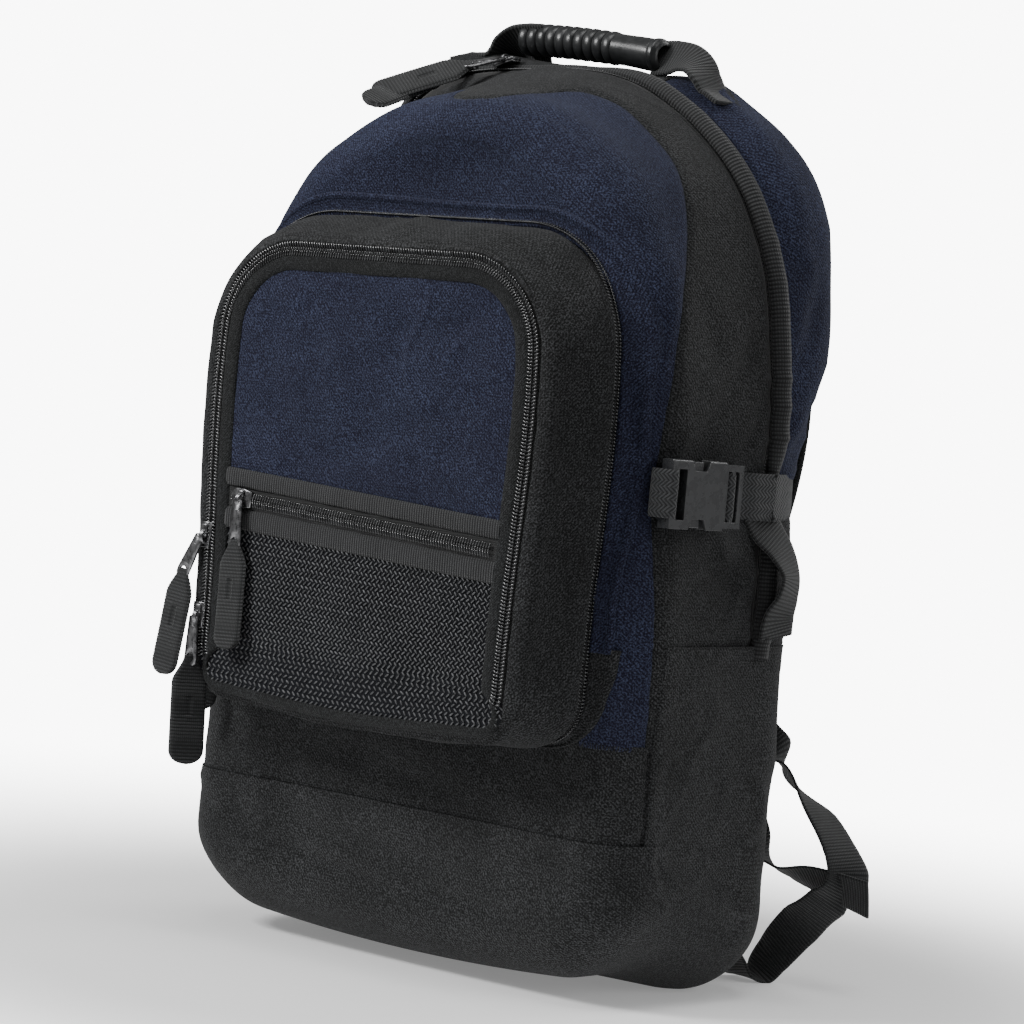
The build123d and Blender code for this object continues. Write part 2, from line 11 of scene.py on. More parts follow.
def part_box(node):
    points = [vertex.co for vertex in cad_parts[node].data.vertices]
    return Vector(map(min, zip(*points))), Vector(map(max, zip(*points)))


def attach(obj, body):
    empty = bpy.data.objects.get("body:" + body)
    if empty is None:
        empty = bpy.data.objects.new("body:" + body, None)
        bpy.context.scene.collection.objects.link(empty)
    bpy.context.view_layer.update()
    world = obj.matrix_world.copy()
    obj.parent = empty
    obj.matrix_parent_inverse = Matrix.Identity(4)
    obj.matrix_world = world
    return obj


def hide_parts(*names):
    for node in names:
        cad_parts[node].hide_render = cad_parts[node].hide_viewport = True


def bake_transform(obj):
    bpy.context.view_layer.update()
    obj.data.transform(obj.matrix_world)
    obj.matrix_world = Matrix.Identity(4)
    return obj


# School backpack: the looks. Lengths below are in millimetres and become metres in make_mesh().
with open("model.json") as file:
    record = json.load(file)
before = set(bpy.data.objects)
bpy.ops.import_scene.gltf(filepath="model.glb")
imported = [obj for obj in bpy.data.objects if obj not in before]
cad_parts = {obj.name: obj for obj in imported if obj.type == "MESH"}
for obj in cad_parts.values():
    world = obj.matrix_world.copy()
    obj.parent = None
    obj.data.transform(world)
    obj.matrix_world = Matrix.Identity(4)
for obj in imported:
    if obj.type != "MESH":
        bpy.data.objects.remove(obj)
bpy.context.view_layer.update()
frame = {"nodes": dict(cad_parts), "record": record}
MM = 0.001


# ---- The frame's sizes -----------------------------------------------------------------------
def limits(node):
    """Lowest and highest corner of a CAD node, in millimetres."""
    low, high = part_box(node)
    return np.array(low) / MM, np.array(high) / MM


WEBBING = 25.0
ZIP_GAP = 0.6
base_low, base_high = limits("base_panel")
zip_low, zip_high = limits("main_zip_front")
HALF_W = base_high[0]
FRONT_Y = base_low[1]
BASE_TOP = base_high[2]
ZIP_Y = zip_high[1] + ZIP_GAP / 2
BACK_Y = limits("back_panel")[1][1]
STRAP_Z = limits("rear_gusset")[0][2] + WEBBING / 2
HEM_Z = limits("side_pocket_right")[1][2]
CORNER_R = 50.0
EDGE_R = 28.0
SPRING_Z = 283.0
SIDE_R = 358.0
CROWN_R = 149.5
CROWN_Z = SPRING_Z + math.sqrt((SIDE_R - CROWN_R) ** 2 - (SIDE_R - HALF_W) ** 2)
SEAM_Y = FRONT_Y + EDGE_R
NAVY_LOW = 135.0


# ---- Outlines --------------------------------------------------------------------------------
class Outline:
    """A closed line of straights and arcs in the XZ plane, walked with the outside on the right."""

    def __init__(self, parts):
        self.parts = parts
        lengths = []
        for part in parts:
            if part[0] == "line":
                lengths.append(math.dist(part[1], part[2]))
            else:
                lengths.append(part[2] * abs(part[4] - part[3]))
        self.stops = np.concatenate([[0.0], np.cumsum(lengths)])
        self.length = self.stops[-1]

    def at(self, s):
        """Points and outward normals, as (x, z) pairs, at distances s along the line."""
        s = np.asarray(s, float)
        point = np.zeros(s.shape + (2,))
        normal = np.zeros(s.shape + (2,))
        index = np.clip(np.searchsorted(self.stops, s, side="right") - 1, 0, len(self.parts) - 1)
        for i, part in enumerate(self.parts):
            here = index == i
            step = s[here] - self.stops[i]
            if part[0] == "line":
                a, b = np.array(part[1]), np.array(part[2])
                way = (b - a) / math.dist(part[1], part[2])
                point[here] = a + step[:, None] * way
                normal[here] = (way[1], -way[0])
            else:
                turn = part[3] + step / part[2]
                out = np.stack([np.cos(turn), np.sin(turn)], -1)
                point[here] = np.array(part[1]) + part[2] * out
                normal[here] = out
        return point, normal


def mirrored(half):
    """The right half of an outline followed by its left half."""
    parts = list(half)
    for part in reversed(half):
        if part[0] == "line":
            a, b = part[1], part[2]
            parts.append(("line", (-b[0], b[1]), (-a[0], a[1])))
        else:
            centre = (-part[1][0], part[1][1])
            parts.append(("arc", centre, part[2], math.pi - part[4], math.pi - part[3]))
    return Outline(parts)


def arch_outline():
    """The bag's outline from the middle of the base, up the right side and over the crown."""
    side_cx = SIDE_R - HALF_W
    turn = math.atan2(CROWN_Z - SPRING_Z, side_cx)
    flat = HALF_W - CORNER_R
    return mirrored([
        ("line", (0.0, 0.0), (flat, 0.0)),
        ("arc", (flat, CORNER_R), CORNER_R, -math.pi / 2, 0.0),
        ("line", (HALF_W, CORNER_R), (HALF_W, SPRING_Z)),
        ("arc", (-side_cx, SPRING_Z), SIDE_R, 0.0, turn),
        ("arc", (0.0, CROWN_Z), CROWN_R, turn, math.pi / 2),
    ])


def box_outline(half, low, high, top_r, bottom_r):
    """A rounded rectangle from the middle of its bottom edge."""
    return mirrored([
        ("line", (0.0, low), (half - bottom_r, low)),
        ("arc", (half - bottom_r, low + bottom_r), bottom_r, -math.pi / 2, 0.0),
        ("line", (half, low + bottom_r), (half, high - top_r)),
        ("arc", (half - top_r, high - top_r), top_r, 0.0, math.pi / 2),
        ("line", (half - top_r, high), (0.0, high)),
    ])


ARCH = arch_outline()
POCKET_LOW = 136.0
FACE_RING_HALF, FACE_RING_LOW, FACE_RING_TOP, FACE_RING_R = 116.0, 138.0, 388.0, 54.0
REAR_RING = box_outline(130.0, POCKET_LOW, 398.0, 60.0, 24.0)
FRONT_RING = box_outline(FACE_RING_HALF, FACE_RING_LOW, FACE_RING_TOP, FACE_RING_R, 22.0)
POCKET_BACK_Y = limits("front_pocket_zip")[1][1]
POCKET_ZIP_Y = limits("front_pocket_zip")[0][1]


# ---- Smooth noise, the same on every run ------------------------------------------------------
WAVES = 9


def waves(seed, scale):
    """Directions and phases of a few plane waves about scale millimetres long."""
    rng = np.random.default_rng(seed)
    way = rng.normal(size=(WAVES, 3))
    way /= np.linalg.norm(way, axis=1)[:, None]
    size = 2 * math.pi / (scale * rng.uniform(0.6, 1.6, WAVES))
    return way * size[:, None], rng.uniform(0, 2 * math.pi, WAVES)


def wobble(points, seed, scale):
    """Smooth noise from about -1 to 1 at each point."""
    way, phase = waves(seed, scale)
    return np.sin(points @ way.T + phase).sum(-1) / math.sqrt(len(phase)) * 0.8


def ridges(points, seed, scale, stretch):
    """Sharp-crested folds about scale millimetres apart, drawn out by stretch along each axis."""
    q = points / np.array(stretch)
    bend = wobble(q, seed + 50, scale * 2.5)
    fold = wobble(q + bend[..., None] * scale * 0.35, seed, scale)
    return np.clip(1 - 2.2 * np.abs(fold), 0, 1) ** 1.5 * np.clip(0.4 + wobble(q, seed + 9, scale * 3), 0, 1)


def smooth(x, a, b):
    """0 below a, 1 above b, and a smooth step between."""
    t = np.clip((x - a) / (b - a), 0, 1)
    return t * t * (3 - 2 * t)


def crease(points, start, end, width, depth):
    """Depth of a crease that runs from start to end."""
    a, b = np.array(start, float), np.array(end, float)
    t = np.clip(((points - a) @ (b - a)) / ((b - a) @ (b - a)), 0, 1)
    away = np.linalg.norm(points - (a + t[..., None] * (b - a)), axis=-1)
    return depth * np.exp(-(away / width) ** 2) * np.sin(np.clip(t, 0.02, 0.98) * math.pi) ** 0.5


# ---- Mesh building ------------------------------------------------------------------------------
def make_mesh(name, points, faces, uvs=None, material=None):
    """A mesh object from millimetre points; uvs is one (u, v) in metres for each point."""
    mesh = bpy.data.meshes.new(name)
    mesh.from_pydata((np.asarray(points, float) * MM).tolist(), [], [list(map(int, f)) for f in faces])
    if uvs is not None:
        layer = mesh.uv_layers.new(name="UVMap")
        corner = np.zeros(len(mesh.loops), np.int32)
        mesh.loops.foreach_get("vertex_index", corner)
        layer.data.foreach_set("uv", np.asarray(uvs, np.float32)[corner].ravel())
    mesh.polygons.foreach_set("use_smooth", [True] * len(mesh.polygons))
    mesh.update()
    obj = bpy.data.objects.new(name, mesh)
    bpy.context.scene.collection.objects.link(obj)
    if material is not None:
        mesh.materials.append(material)
    return obj


def grid_faces(rows, cols, wrap=False):
    """Quads of a grid of points, row by row; wrap joins the last row to the first."""
    faces = []
    for i in range(rows if wrap else rows - 1):
        j = np.arange(cols - 1)
        a, b = i * cols + j, ((i + 1) % rows) * cols + j
        faces.append(np.stack([a, b, b + 1, a + 1], -1))
    return np.concatenate(faces)


def line_run(points):
    """Distance of each point along a line."""
    return np.concatenate([[0], np.cumsum(np.linalg.norm(np.diff(points, axis=0), axis=1))])


def row_runs(points):
    """Distance of each point of a grid along its row."""
    step = np.linalg.norm(np.diff(points, axis=1), axis=-1)
    return np.concatenate([np.zeros((len(points), 1)), np.cumsum(step, 1)], 1)


def unit(vectors):
    """Vectors scaled to length 1."""
    return vectors / np.linalg.norm(vectors, axis=-1, keepdims=True)


def grid_uv(points, wrap=False):
    """Lengths along and across a grid, in metres."""
    closed = np.concatenate([points, points[:1]]) if wrap else points
    along = np.linalg.norm(np.diff(closed, axis=0), axis=-1).mean(1)
    u = np.concatenate([[0], np.cumsum(along)])[: len(points)]
    v = row_runs(points)
    return np.stack([np.broadcast_to(u[:, None], v.shape), v], -1) * MM


def modify(obj, *steps):
    """Adds modifiers, given as (type, settings), and applies them all."""
    for kind, settings in steps:
        modifier = obj.modifiers.new(kind.title(), kind)
        for key, value in settings.items():
            setattr(modifier, key, value)
    bpy.context.view_layer.update()
    graph = bpy.context.evaluated_depsgraph_get()
    mesh = bpy.data.meshes.new_from_object(obj.evaluated_get(graph))
    old = obj.data
    obj.modifiers.clear()
    obj.data = mesh
    bpy.data.meshes.remove(old)
    return obj


def cut(obj, height, keep_above):
    """Cuts a piece level at a height and keeps one side."""
    mesh = bmesh.new()
    mesh.from_mesh(obj.data)
    everything = mesh.verts[:] + mesh.edges[:] + mesh.faces[:]
    bmesh.ops.bisect_plane(mesh, geom=everything, plane_co=(0.0, 0.0, height * MM), plane_no=(0.0, 0.0, 1.0),
                           clear_inner=keep_above, clear_outer=not keep_above, dist=1e-6)
    mesh.to_mesh(obj.data)
    mesh.free()
    return obj


def sheet_piece(name, points, material, thickness=1.4, wrap=False, uvs=None):
    """A cloth piece from a grid of millimetre points, with its thickness inwards."""
    rows, cols = points.shape[:2]
    uv = grid_uv(points, wrap) if uvs is None else uvs
    obj = make_mesh(name, points.reshape(-1, 3), grid_faces(rows, cols, wrap), uv.reshape(-1, 2), material)
    if thickness:
        modify(obj, ("SOLIDIFY", {"thickness": thickness * MM, "offset": -1.0, "use_even_offset": False}))
    return obj


def stamped(name, shape, faces, origins, axes, material):
    """One mesh of many copies of a small shape, each with its own origin and three axes."""
    points = np.einsum("vk,nkc->nvc", shape, axes) + origins[:, None, :]
    block = np.asarray(faces)
    every = (block[None] + (np.arange(len(origins)) * len(shape))[:, None, None]).reshape(-1, block.shape[1])
    uv = np.tile(shape[:, :2] * MM, (len(origins), 1))
    return make_mesh(name, points.reshape(-1, 3), every, uv, material)


def tube_faces(rings, sides, closed=False, capped=False):
    """Quads between the rings of a tube; closed joins its ends together and capped fills them."""
    faces = []
    for i in range(rings if closed else rings - 1):
        for j in range(sides):
            k, m = (i + 1) % rings, (j + 1) % sides
            faces.append([i * sides + j, k * sides + j, k * sides + m, i * sides + m])
    if capped:
        faces.append(list(range(sides)))
        faces.append(list(range((rings - 1) * sides, rings * sides))[::-1])
    return faces


def bead(length, width, height, sides=8, rings=4):
    """Points and faces of a small rounded bar along x."""
    rows = []
    for i in range(rings + 1):
        a = math.pi * i / rings
        r = max(math.sin(a), 0.12) ** 0.6
        turn = np.arange(sides) * 2 * math.pi / sides
        x = -math.cos(a) * length / 2
        rows.append(np.stack([np.full(sides, x), np.cos(turn) * width / 2 * r, np.sin(turn) * height / 2 * r], -1))
    return np.concatenate(rows), np.array(tube_faces(rings + 1, sides))


# ---- Materials ----------------------------------------------------------------------------------
# Sizes in a material are in metres.
DIAGONAL = 1.414
FIBRE = 0.0009
HERRINGBONE = 0.0032


class Nodes:
    """Short calls for building a material's node tree."""

    def __init__(self, name, rough, metal=0.0, **sockets):
        self.material = bpy.data.materials.new(name)
        self.material.use_nodes = True
        self.tree = self.material.node_tree
        self.shader = self.tree.nodes["Principled BSDF"]
        self.shader.inputs["Roughness"].default_value = rough
        self.shader.inputs["Metallic"].default_value = metal
        for key, value in sockets.items():
            self.shader.inputs[key.replace("_", " ")].default_value = value

    def new(self, kind, **settings):
        node = self.tree.nodes.new(kind)
        for key, value in settings.items():
            setattr(node, key, value)
        return node

    def link(self, value, socket):
        if hasattr(value, "is_output"):
            self.tree.links.new(value, socket)
        else:
            socket.default_value = value

    def math(self, operation, a, b=0.0, clamp=False):
        node = self.new("ShaderNodeMath", operation=operation, use_clamp=clamp)
        self.link(a, node.inputs[0])
        self.link(b, node.inputs[1])
        return node.outputs[0]

    def wave(self, along, pitch):
        """A sine from 0 to 1 that repeats every pitch metres."""
        turn = self.math("MULTIPLY", along, 2 * math.pi / pitch)
        return self.math("ADD", self.math("MULTIPLY", self.math("SINE", turn), 0.5), 0.5)

    def coordinates(self, solid=False):
        """u and v in metres: from the UV map, or from the object's own space on a CAD solid."""
        if solid:
            source = self.new("ShaderNodeTexCoord").outputs["Object"]
        else:
            source = self.new("ShaderNodeUVMap", uv_map="UVMap").outputs[0]
        parts = self.new("ShaderNodeSeparateXYZ")
        self.tree.links.new(source, parts.inputs[0])
        if solid:
            return self.math("ADD", parts.outputs[0], parts.outputs[1]), parts.outputs[2]
        return parts.outputs[0], parts.outputs[1]

    def noise(self, size, detail=2.0):
        """Solid noise with features about size metres across."""
        texture = self.new("ShaderNodeTexNoise")
        texture.inputs["Scale"].default_value = 1.0 / size
        texture.inputs["Detail"].default_value = detail
        texture.inputs["Roughness"].default_value = 0.6
        place = self.new("ShaderNodeTexCoord").outputs["Object"]
        self.tree.links.new(place, texture.inputs["Vector"])
        return texture.outputs["Fac"]

    def colour(self, factor, dark, light):
        ramp = self.new("ShaderNodeMix", data_type="RGBA")
        self.link(factor, ramp.inputs[0])
        ramp.inputs[6].default_value = (*dark, 1.0)
        ramp.inputs[7].default_value = (*light, 1.0)
        self.tree.links.new(ramp.outputs[2], self.shader.inputs["Base Color"])

    def bump(self, height, strength, distance):
        node = self.new("ShaderNodeBump")
        node.inputs["Strength"].default_value = strength
        node.inputs["Distance"].default_value = distance
        self.link(height, node.inputs["Height"])
        self.tree.links.new(node.outputs[0], self.shader.inputs["Normal"])


def twill(name, dark, light, pitch=0.0017, solid=False, sheen=0.06, tint=(0.6, 0.7, 1.0)):
    """Diagonal weave: ridges along one diagonal, broken by the crossing threads, with loose bright fibres."""
    n = Nodes(name, 0.85, Sheen_Weight=sheen, Sheen_Roughness=0.5, Sheen_Tint=(*tint, 1.0),
              Specular_IOR_Level=0.22)
    u, v = n.coordinates(solid)
    ridge = n.wave(n.math("ADD", u, v), pitch * DIAGONAL)
    thread = n.math("MULTIPLY", n.wave(u, pitch * 0.9), n.wave(v, pitch * 0.9))
    weave = n.math("ADD", n.math("MULTIPLY", ridge, 0.5), n.math("MULTIPLY", thread, 0.5))
    fibre = n.math("MULTIPLY", n.math("SUBTRACT", n.noise(FIBRE), 0.46), 6.5, clamp=True)
    patch = n.math("ADD", n.math("MULTIPLY", n.noise(0.05, 2.0), 1.2), 0.4)
    value = n.math("ADD", n.math("MULTIPLY", weave, 0.55), n.math("MULTIPLY", fibre, 0.65))
    value = n.math("MULTIPLY", n.math("SUBTRACT", value, 0.20), patch, clamp=True)
    n.colour(value, dark, light)
    n.bump(n.math("ADD", weave, n.math("MULTIPLY", fibre, 0.9)), 0.7, 0.0004)
    return n.material


def ribbed(name, dark, light, pitch, across=True):
    """Webbing: cords side by side, crossed by a fine weft."""
    n = Nodes(name, 0.75, Sheen_Weight=0.15, Sheen_Roughness=0.5, Specular_IOR_Level=0.35)
    u, v = n.coordinates()
    rib = n.wave(u if across else v, pitch)
    weft = n.wave(v if across else u, pitch * 0.6)
    fibre = n.noise(0.0008, 2.0)
    height = n.math("MULTIPLY", rib, n.math("ADD", n.math("MULTIPLY", weft, 0.5), 0.5))
    n.colour(n.math("MULTIPLY", height, n.math("MULTIPLY", fibre, 1.7), clamp=True), dark, light)
    n.bump(height, 0.8, 0.0006)
    return n.material


def chevron(name, dark, light, pitch):
    """Herringbone webbing: threads that slope one way and then the other across the strap."""
    n = Nodes(name, 0.7, Sheen_Weight=0.15, Sheen_Roughness=0.5, Specular_IOR_Level=0.4)
    u, v = n.coordinates()
    fold = n.math("PINGPONG", v, HERRINGBONE)
    thread = n.wave(n.math("ADD", u, n.math("MULTIPLY", fold, 1.1)), pitch)
    fibre = n.noise(FIBRE)
    n.colour(n.math("MULTIPLY", thread, n.math("MULTIPLY", fibre, 1.5), clamp=True), dark, light)
    n.bump(thread, 0.8, 0.0006)
    return n.material


def moulded(name, base, light, rough, grain=0.0006, depth=0.00005, metal=0.0, wear_and_glint_size=0.006, spec=0.5):
    """Moulded plastic, rubber or cast metal: fine grain, and patches that are a little lighter and shinier; on the
    zip coil the lighter patches are painted glints.
    """
    n = Nodes(name, rough, metal, Specular_IOR_Level=spec)
    patch = n.noise(wear_and_glint_size, 4.0)
    n.colour(n.math("MULTIPLY", n.math("SUBTRACT", patch, 0.35), 1.8, clamp=True), base, light)
    spread = n.math("MULTIPLY", n.math("SUBTRACT", patch, 0.5), 0.35)
    n.link(n.math("ADD", spread, rough, clamp=True), n.shader.inputs["Roughness"])
    n.bump(n.noise(grain, 2.0), 0.5, depth)
    return n.material


NAVY = twill("navy_twill", (0.0030, 0.0024, 0.0115), (0.052, 0.064, 0.120))
BLACK = twill("black_twill", (0.0030, 0.0034, 0.0034), (0.064, 0.066, 0.070), sheen=0.05, tint=(1, 1, 1))
BLACK_FINE = twill("black_binding", (0.0045, 0.005, 0.005), (0.036, 0.038, 0.040), 0.0012, sheen=0.04,
                   tint=(1, 1, 1))
LINING = twill("lining_cloth", (0.010, 0.010, 0.012), (0.05, 0.05, 0.055), 0.0014, solid=True)
BOARD = moulded("board_plastic", (0.02, 0.02, 0.02), (0.04, 0.04, 0.04), 0.6)
RIBBED = ribbed("ribbed_webbing", (0.002, 0.0025, 0.0025), (0.036, 0.038, 0.040), 0.0019)
RIBBED_ALONG = ribbed("ribbed_tape", (0.002, 0.002, 0.0025), (0.042, 0.044, 0.047), 0.0017)
WELT = ribbed("ribbed_welt", (0.002, 0.002, 0.0025), (0.034, 0.036, 0.038), 0.0021)
CHEVRON = chevron("herringbone_webbing", (0.002, 0.0025, 0.003), (0.062, 0.065, 0.069), 0.0024)
ZIP_TAPE = ribbed("zip_tape", (0.002, 0.002, 0.002), (0.020, 0.021, 0.022), 0.0012, across=False)
# Glossy dark nylon coil: its gloss is real, and its lighter patches are painted glints.
COIL = moulded("zip_coil_nylon", (0.014, 0.014, 0.015), (0.100, 0.103, 0.108), 0.2, wear_and_glint_size=0.004, spec=1.0)
MESH = moulded("mesh_yarn", (0.040, 0.041, 0.043), (0.210, 0.215, 0.225), 0.5, 0.0005, 0.0001, wear_and_glint_size=0.0022)
# Near-black cloth under the mesh yarn: painted shade seen through the mesh's holes.
MESH_HOLE_SHADE = twill("mesh_hole_shade", (0.002, 0.002, 0.0025), (0.010, 0.010, 0.011), 0.001)
METAL = moulded("slider_metal", (0.14, 0.14, 0.145), (0.52, 0.52, 0.53), 0.3, 0.0004, 0.00006, 1.0, 0.003)
PLASTIC = moulded("buckle_acetal", (0.036, 0.037, 0.039), (0.042, 0.044, 0.047), 0.28, 0.0006, 0.00016, spec=0.8)
RUBBER = moulded("grip_rubber_skin", (0.009, 0.010, 0.0105), (0.032, 0.033, 0.035), 0.34, 0.0009, 0.00015)
THREAD = moulded("stitch_thread", (0.02, 0.021, 0.024), (0.06, 0.062, 0.07), 0.6, 0.0003, 0.00005)


# ---- The bag's soft surface -----------------------------------------------------------------------
# s walks round the arch outline. t is 0 at the middle of the front, 1 to 2 over the front edge, 3 at the main
# zip, 4 to 5 over the rear edge and 6 in the middle of the back.
CREASES = [
    ((-95, -75, 52), (10, -75, 34), 5, 2.6), ((-60, -75, 66), (40, -75, 58), 7, 1.6),
    ((20, -73, 40), (118, -66, 30), 6, 2.4), ((60, -75, 62), (135, -62, 48), 6, 1.8),
    ((-130, -60, 60), (-80, -75, 40), 6, 2.2), ((-20, -75, 100), (90, -75, 94), 8, 1.2),
    ((-70, -75, 112), (30, -75, 106), 9, 1.3), ((110, -70, 100), (150, -50, 70), 9, 1.8),
    ((158, -36, 300), (152, 10, 352), 8, 2.6), ((158, -30, 238), (158, 14, 214), 9, 2.6),
    ((156, -20, 330), (150, -40, 392), 9, 1.8), ((158, 0, 290), (156, 20, 330), 6, 2.0),
    ((134, -75, 330), (150, -60, 268), 7, 2.2), ((120, -75, 405), (146, -58, 340), 9, 1.8),
    ((-40, -75, 420), (60, -75, 436), 16, 1.8), ((40, -75, 452), (96, -72, 420), 12, 2.0),
    ((-90, -72, 430), (-30, -75, 462), 12, 1.8), ((152, 36, 330), (144, 60, 384), 7, 2.6),
    ((158, 40, 286), (150, 60, 330), 7, 2.8), ((130, 40, 420), (118, 62, 440), 8, 1.8),
    ((158, 40, 240), (158, 60, 210), 8, 2.2), ((158, 0, 60), (158, 50, 40), 9, 1.6),
]


def rear_shape(z):
    """Rear edge radius and back depth: round and slack low down, full above the strap."""
    rise = smooth(z, 285, 372)
    return 31 - 16 * rise, 67 + 9 * rise


CROWN_SLOPE = 20.0
BASE_LIFT = 8.0


def base_rise(points):
    """How far the base's front and sides stand off the floor."""
    x, y, z = points[..., 0], points[..., 1], points[..., 2]
    return (BASE_LIFT + 9.0 * (x / HALF_W) ** 2) * (1 - smooth(y, -30, 45)) * (1 - smooth(z, 4, 90))


def crown_rise(points):
    """How far the slack crown stands above its outline: most at the left, where the cloth bunches."""
    x, y, z = points[..., 0], points[..., 1], points[..., 2]
    bunch = (3.0 + 34.0 * np.exp(-((x + 104) / 50) ** 2)) * smooth(y, 2, 42)
    return (bunch + 12.0 * smooth(y, 25, 50) * smooth(x, 30, 80)) * smooth(z, 350, 435)


def bag_surface(s, t):
    """Millimetre points of the soft skin for distances s, shape (n,), and stages t, shape (n, m)."""
    point, normal = ARCH.at(s)
    t = np.asarray(t, float)
    p, n = point[:, None, :], normal[:, None, :]
    rear_r, back_y = rear_shape(p[..., 1])
    a = np.clip(t - 1, 0, 1) * math.pi / 2
    b = np.clip(t - 4, 0, 1) * math.pi / 2
    y = FRONT_Y + EDGE_R * (1 - np.cos(a))
    y = y + np.clip(t - 2, 0, 1) * (ZIP_Y - SEAM_Y)
    y = y + np.clip(t - 3, 0, 1) * (back_y - rear_r - ZIP_Y) + rear_r * np.sin(b)
    slope = CROWN_SLOPE * np.clip(n[..., 1], 0, 1) ** 1.5 * smooth(ZIP_Y - 4 - y, 0, 82)
    inset = EDGE_R * (1 - np.sin(a)) + rear_r * (1 - np.cos(b)) + slope
    xz = p - inset[..., None] * n
    middle = np.stack([0 * p[..., 0], np.clip(p[..., 1], 150, 330)], -1)
    face = np.clip(t, 0, 1)[..., None]
    xz = np.where(t[..., None] < 1, middle + (xz - middle) * face, xz)
    rear_edge = p - rear_r[..., None] * n
    rear_face = np.clip(t - 5, 0, 1)[..., None]
    xz = np.where(t[..., None] > 5, rear_edge + (middle - rear_edge) * rear_face, xz)
    points = np.stack([xz[..., 0], y + 0 * xz[..., 0], xz[..., 1]], -1)
    side = np.sin(a) * np.cos(b)
    out = np.stack([n[..., 0] * side, -np.cos(a) * (t < 2) + np.sin(b), n[..., 1] * side], -1)
    return points, out


def soften(points, out, t):
    """Pushes the skin in and out: puffed panels, the pinch of the straps, creases and small ripples."""
    z = points[..., 2]
    y = points[..., 1]
    side = np.abs(out[..., 0])
    low = smooth(z, 8, 40)
    rear = smooth(y, ZIP_Y - 4, ZIP_Y + 22)
    push = 1.6 * wobble(points, 3, 150) + 0.7 * wobble(points, 4, 48)
    push = push + 1.3 * ridges(points, 6, 46, (1.6, 1.0, 0.8)) * (1 - 0.5 * smooth(z, 300, 420))
    push = push - 4.5 * np.exp(-((z - STRAP_Z) / 26) ** 2) * side
    push = push + 4.0 * rear * np.exp(-((z - 345) / 45) ** 2) * side
    push = push + 11.0 * smooth(y, 20, 55) * np.exp(-((z - 415) / 42) ** 2) * smooth(points[..., 0], 60, 110)
    push = push + 1.5 * np.exp(-((z - 225) / 22) ** 2) * side
    push = push + 2.5 * (1 - side) * np.exp(-((z - 440) / 34) ** 2) * (t < 1.6)
    for start, end, width, depth in CREASES:
        push = push - crease(points, start, end, width, depth)
        lip = np.array([0, 0, width * 1.5])
        push = push + 0.5 * crease(points, np.array(start) + lip, np.array(end) + lip, width, depth)
    moved = points + out * (push * low)[..., None]
    rise = crown_rise(points)
    moved[..., 2] = np.maximum(moved[..., 2], 0.0) + base_rise(points) + rise
    moved[..., 0] -= 0.5 * rise * smooth(-points[..., 0], 50, 110)
    return moved


def distance_at(z, outline=ARCH):
    """Distance along an outline's right side at which it reaches height z."""
    s = np.linspace(0, outline.length / 2, 3000)
    return np.interp(z, outline.at(s)[0][:, 1], s)


# ---- Camera, floor and light ----------------------------------------------------------------------
def aim(obj, place, target, roll=0.0):
    """Points an object's -Z from place at target, turned by roll degrees."""
    back = (Vector(place) - Vector(target)).normalized()
    right = Vector((0, 0, 1)).cross(back).normalized()
    up = back.cross(right)
    turn = math.radians(roll)
    across = right * math.cos(turn) + up * math.sin(turn)
    above = up * math.cos(turn) - right * math.sin(turn)
    obj.matrix_world = Matrix.Translation(place) @ Matrix((across, above, back)).transposed().to_4x4()


def orbit(azimuth, elevation, distance, target):
    """Place at a distance from a target, seen from azimuth and elevation in degrees."""
    a, e = math.radians(azimuth), math.radians(elevation)
    way = Vector((math.sin(a) * math.cos(e), -math.cos(a) * math.cos(e), math.sin(e)))
    return Vector(target) + distance * way


def area_light(name, azimuth, elevation, distance, size, power):
    """A white rectangular light, aimed at the bag from a place given as for orbit()."""
    data = bpy.data.lights.new(name, "AREA")
    data.shape = "RECTANGLE"
    data.size, data.size_y = size
    data.energy = power
    obj = bpy.data.objects.new(name, data)
    bpy.context.scene.collection.objects.link(obj)
    aim(obj, orbit(azimuth, elevation, distance, LOOK_AT), LOOK_AT)


LOOK_AT = (0.002, 0.0, 0.246)
CAMERA_AZIMUTH, CAMERA_ELEVATION, CAMERA_ROLL = 41, 2.5, 5.0
CAMERA_DISTANCE = 2.035
camera = bpy.data.objects.new("camera", bpy.data.cameras.new("camera"))
bpy.context.scene.collection.objects.link(camera)
camera.data.sensor_width = 36.0
camera.data.lens = 130.08
camera.data.clip_end = 50.0
camera_place = orbit(CAMERA_AZIMUTH, CAMERA_ELEVATION, CAMERA_DISTANCE, LOOK_AT)
aim(camera, camera_place, LOOK_AT, roll=CAMERA_ROLL)
bpy.context.scene.camera = camera

area_light("key", -30, 36, 1.7, (0.5, 0.45), 27)
area_light("side", 98, 16, 2.2, (1.0, 1.4), 9)
area_light("top", 40, 78, 1.8, (1.2, 0.8), 13)
area_light("rim", 165, 30, 2.0, (0.8, 1.4), 14)


def studio_world(seen, lit):
    """White surroundings that look as bright as seen and light the bag as brightly as lit."""
    world = bpy.data.worlds.new("studio")
    world.use_nodes = True
    tree = world.node_tree
    path = tree.nodes.new("ShaderNodeLightPath")
    strength = tree.nodes.new("ShaderNodeMapRange")
    strength.inputs["To Min"].default_value = lit
    strength.inputs["To Max"].default_value = seen
    tree.links.new(path.outputs["Is Camera Ray"], strength.inputs["Value"])
    tree.links.new(strength.outputs["Result"], tree.nodes["Background"].inputs["Strength"])
    tree.nodes["Background"].inputs["Color"].default_value = (1.0, 1.0, 1.0, 1.0)
    bpy.context.scene.world = world


studio_world(seen=9.0, lit=0.24)


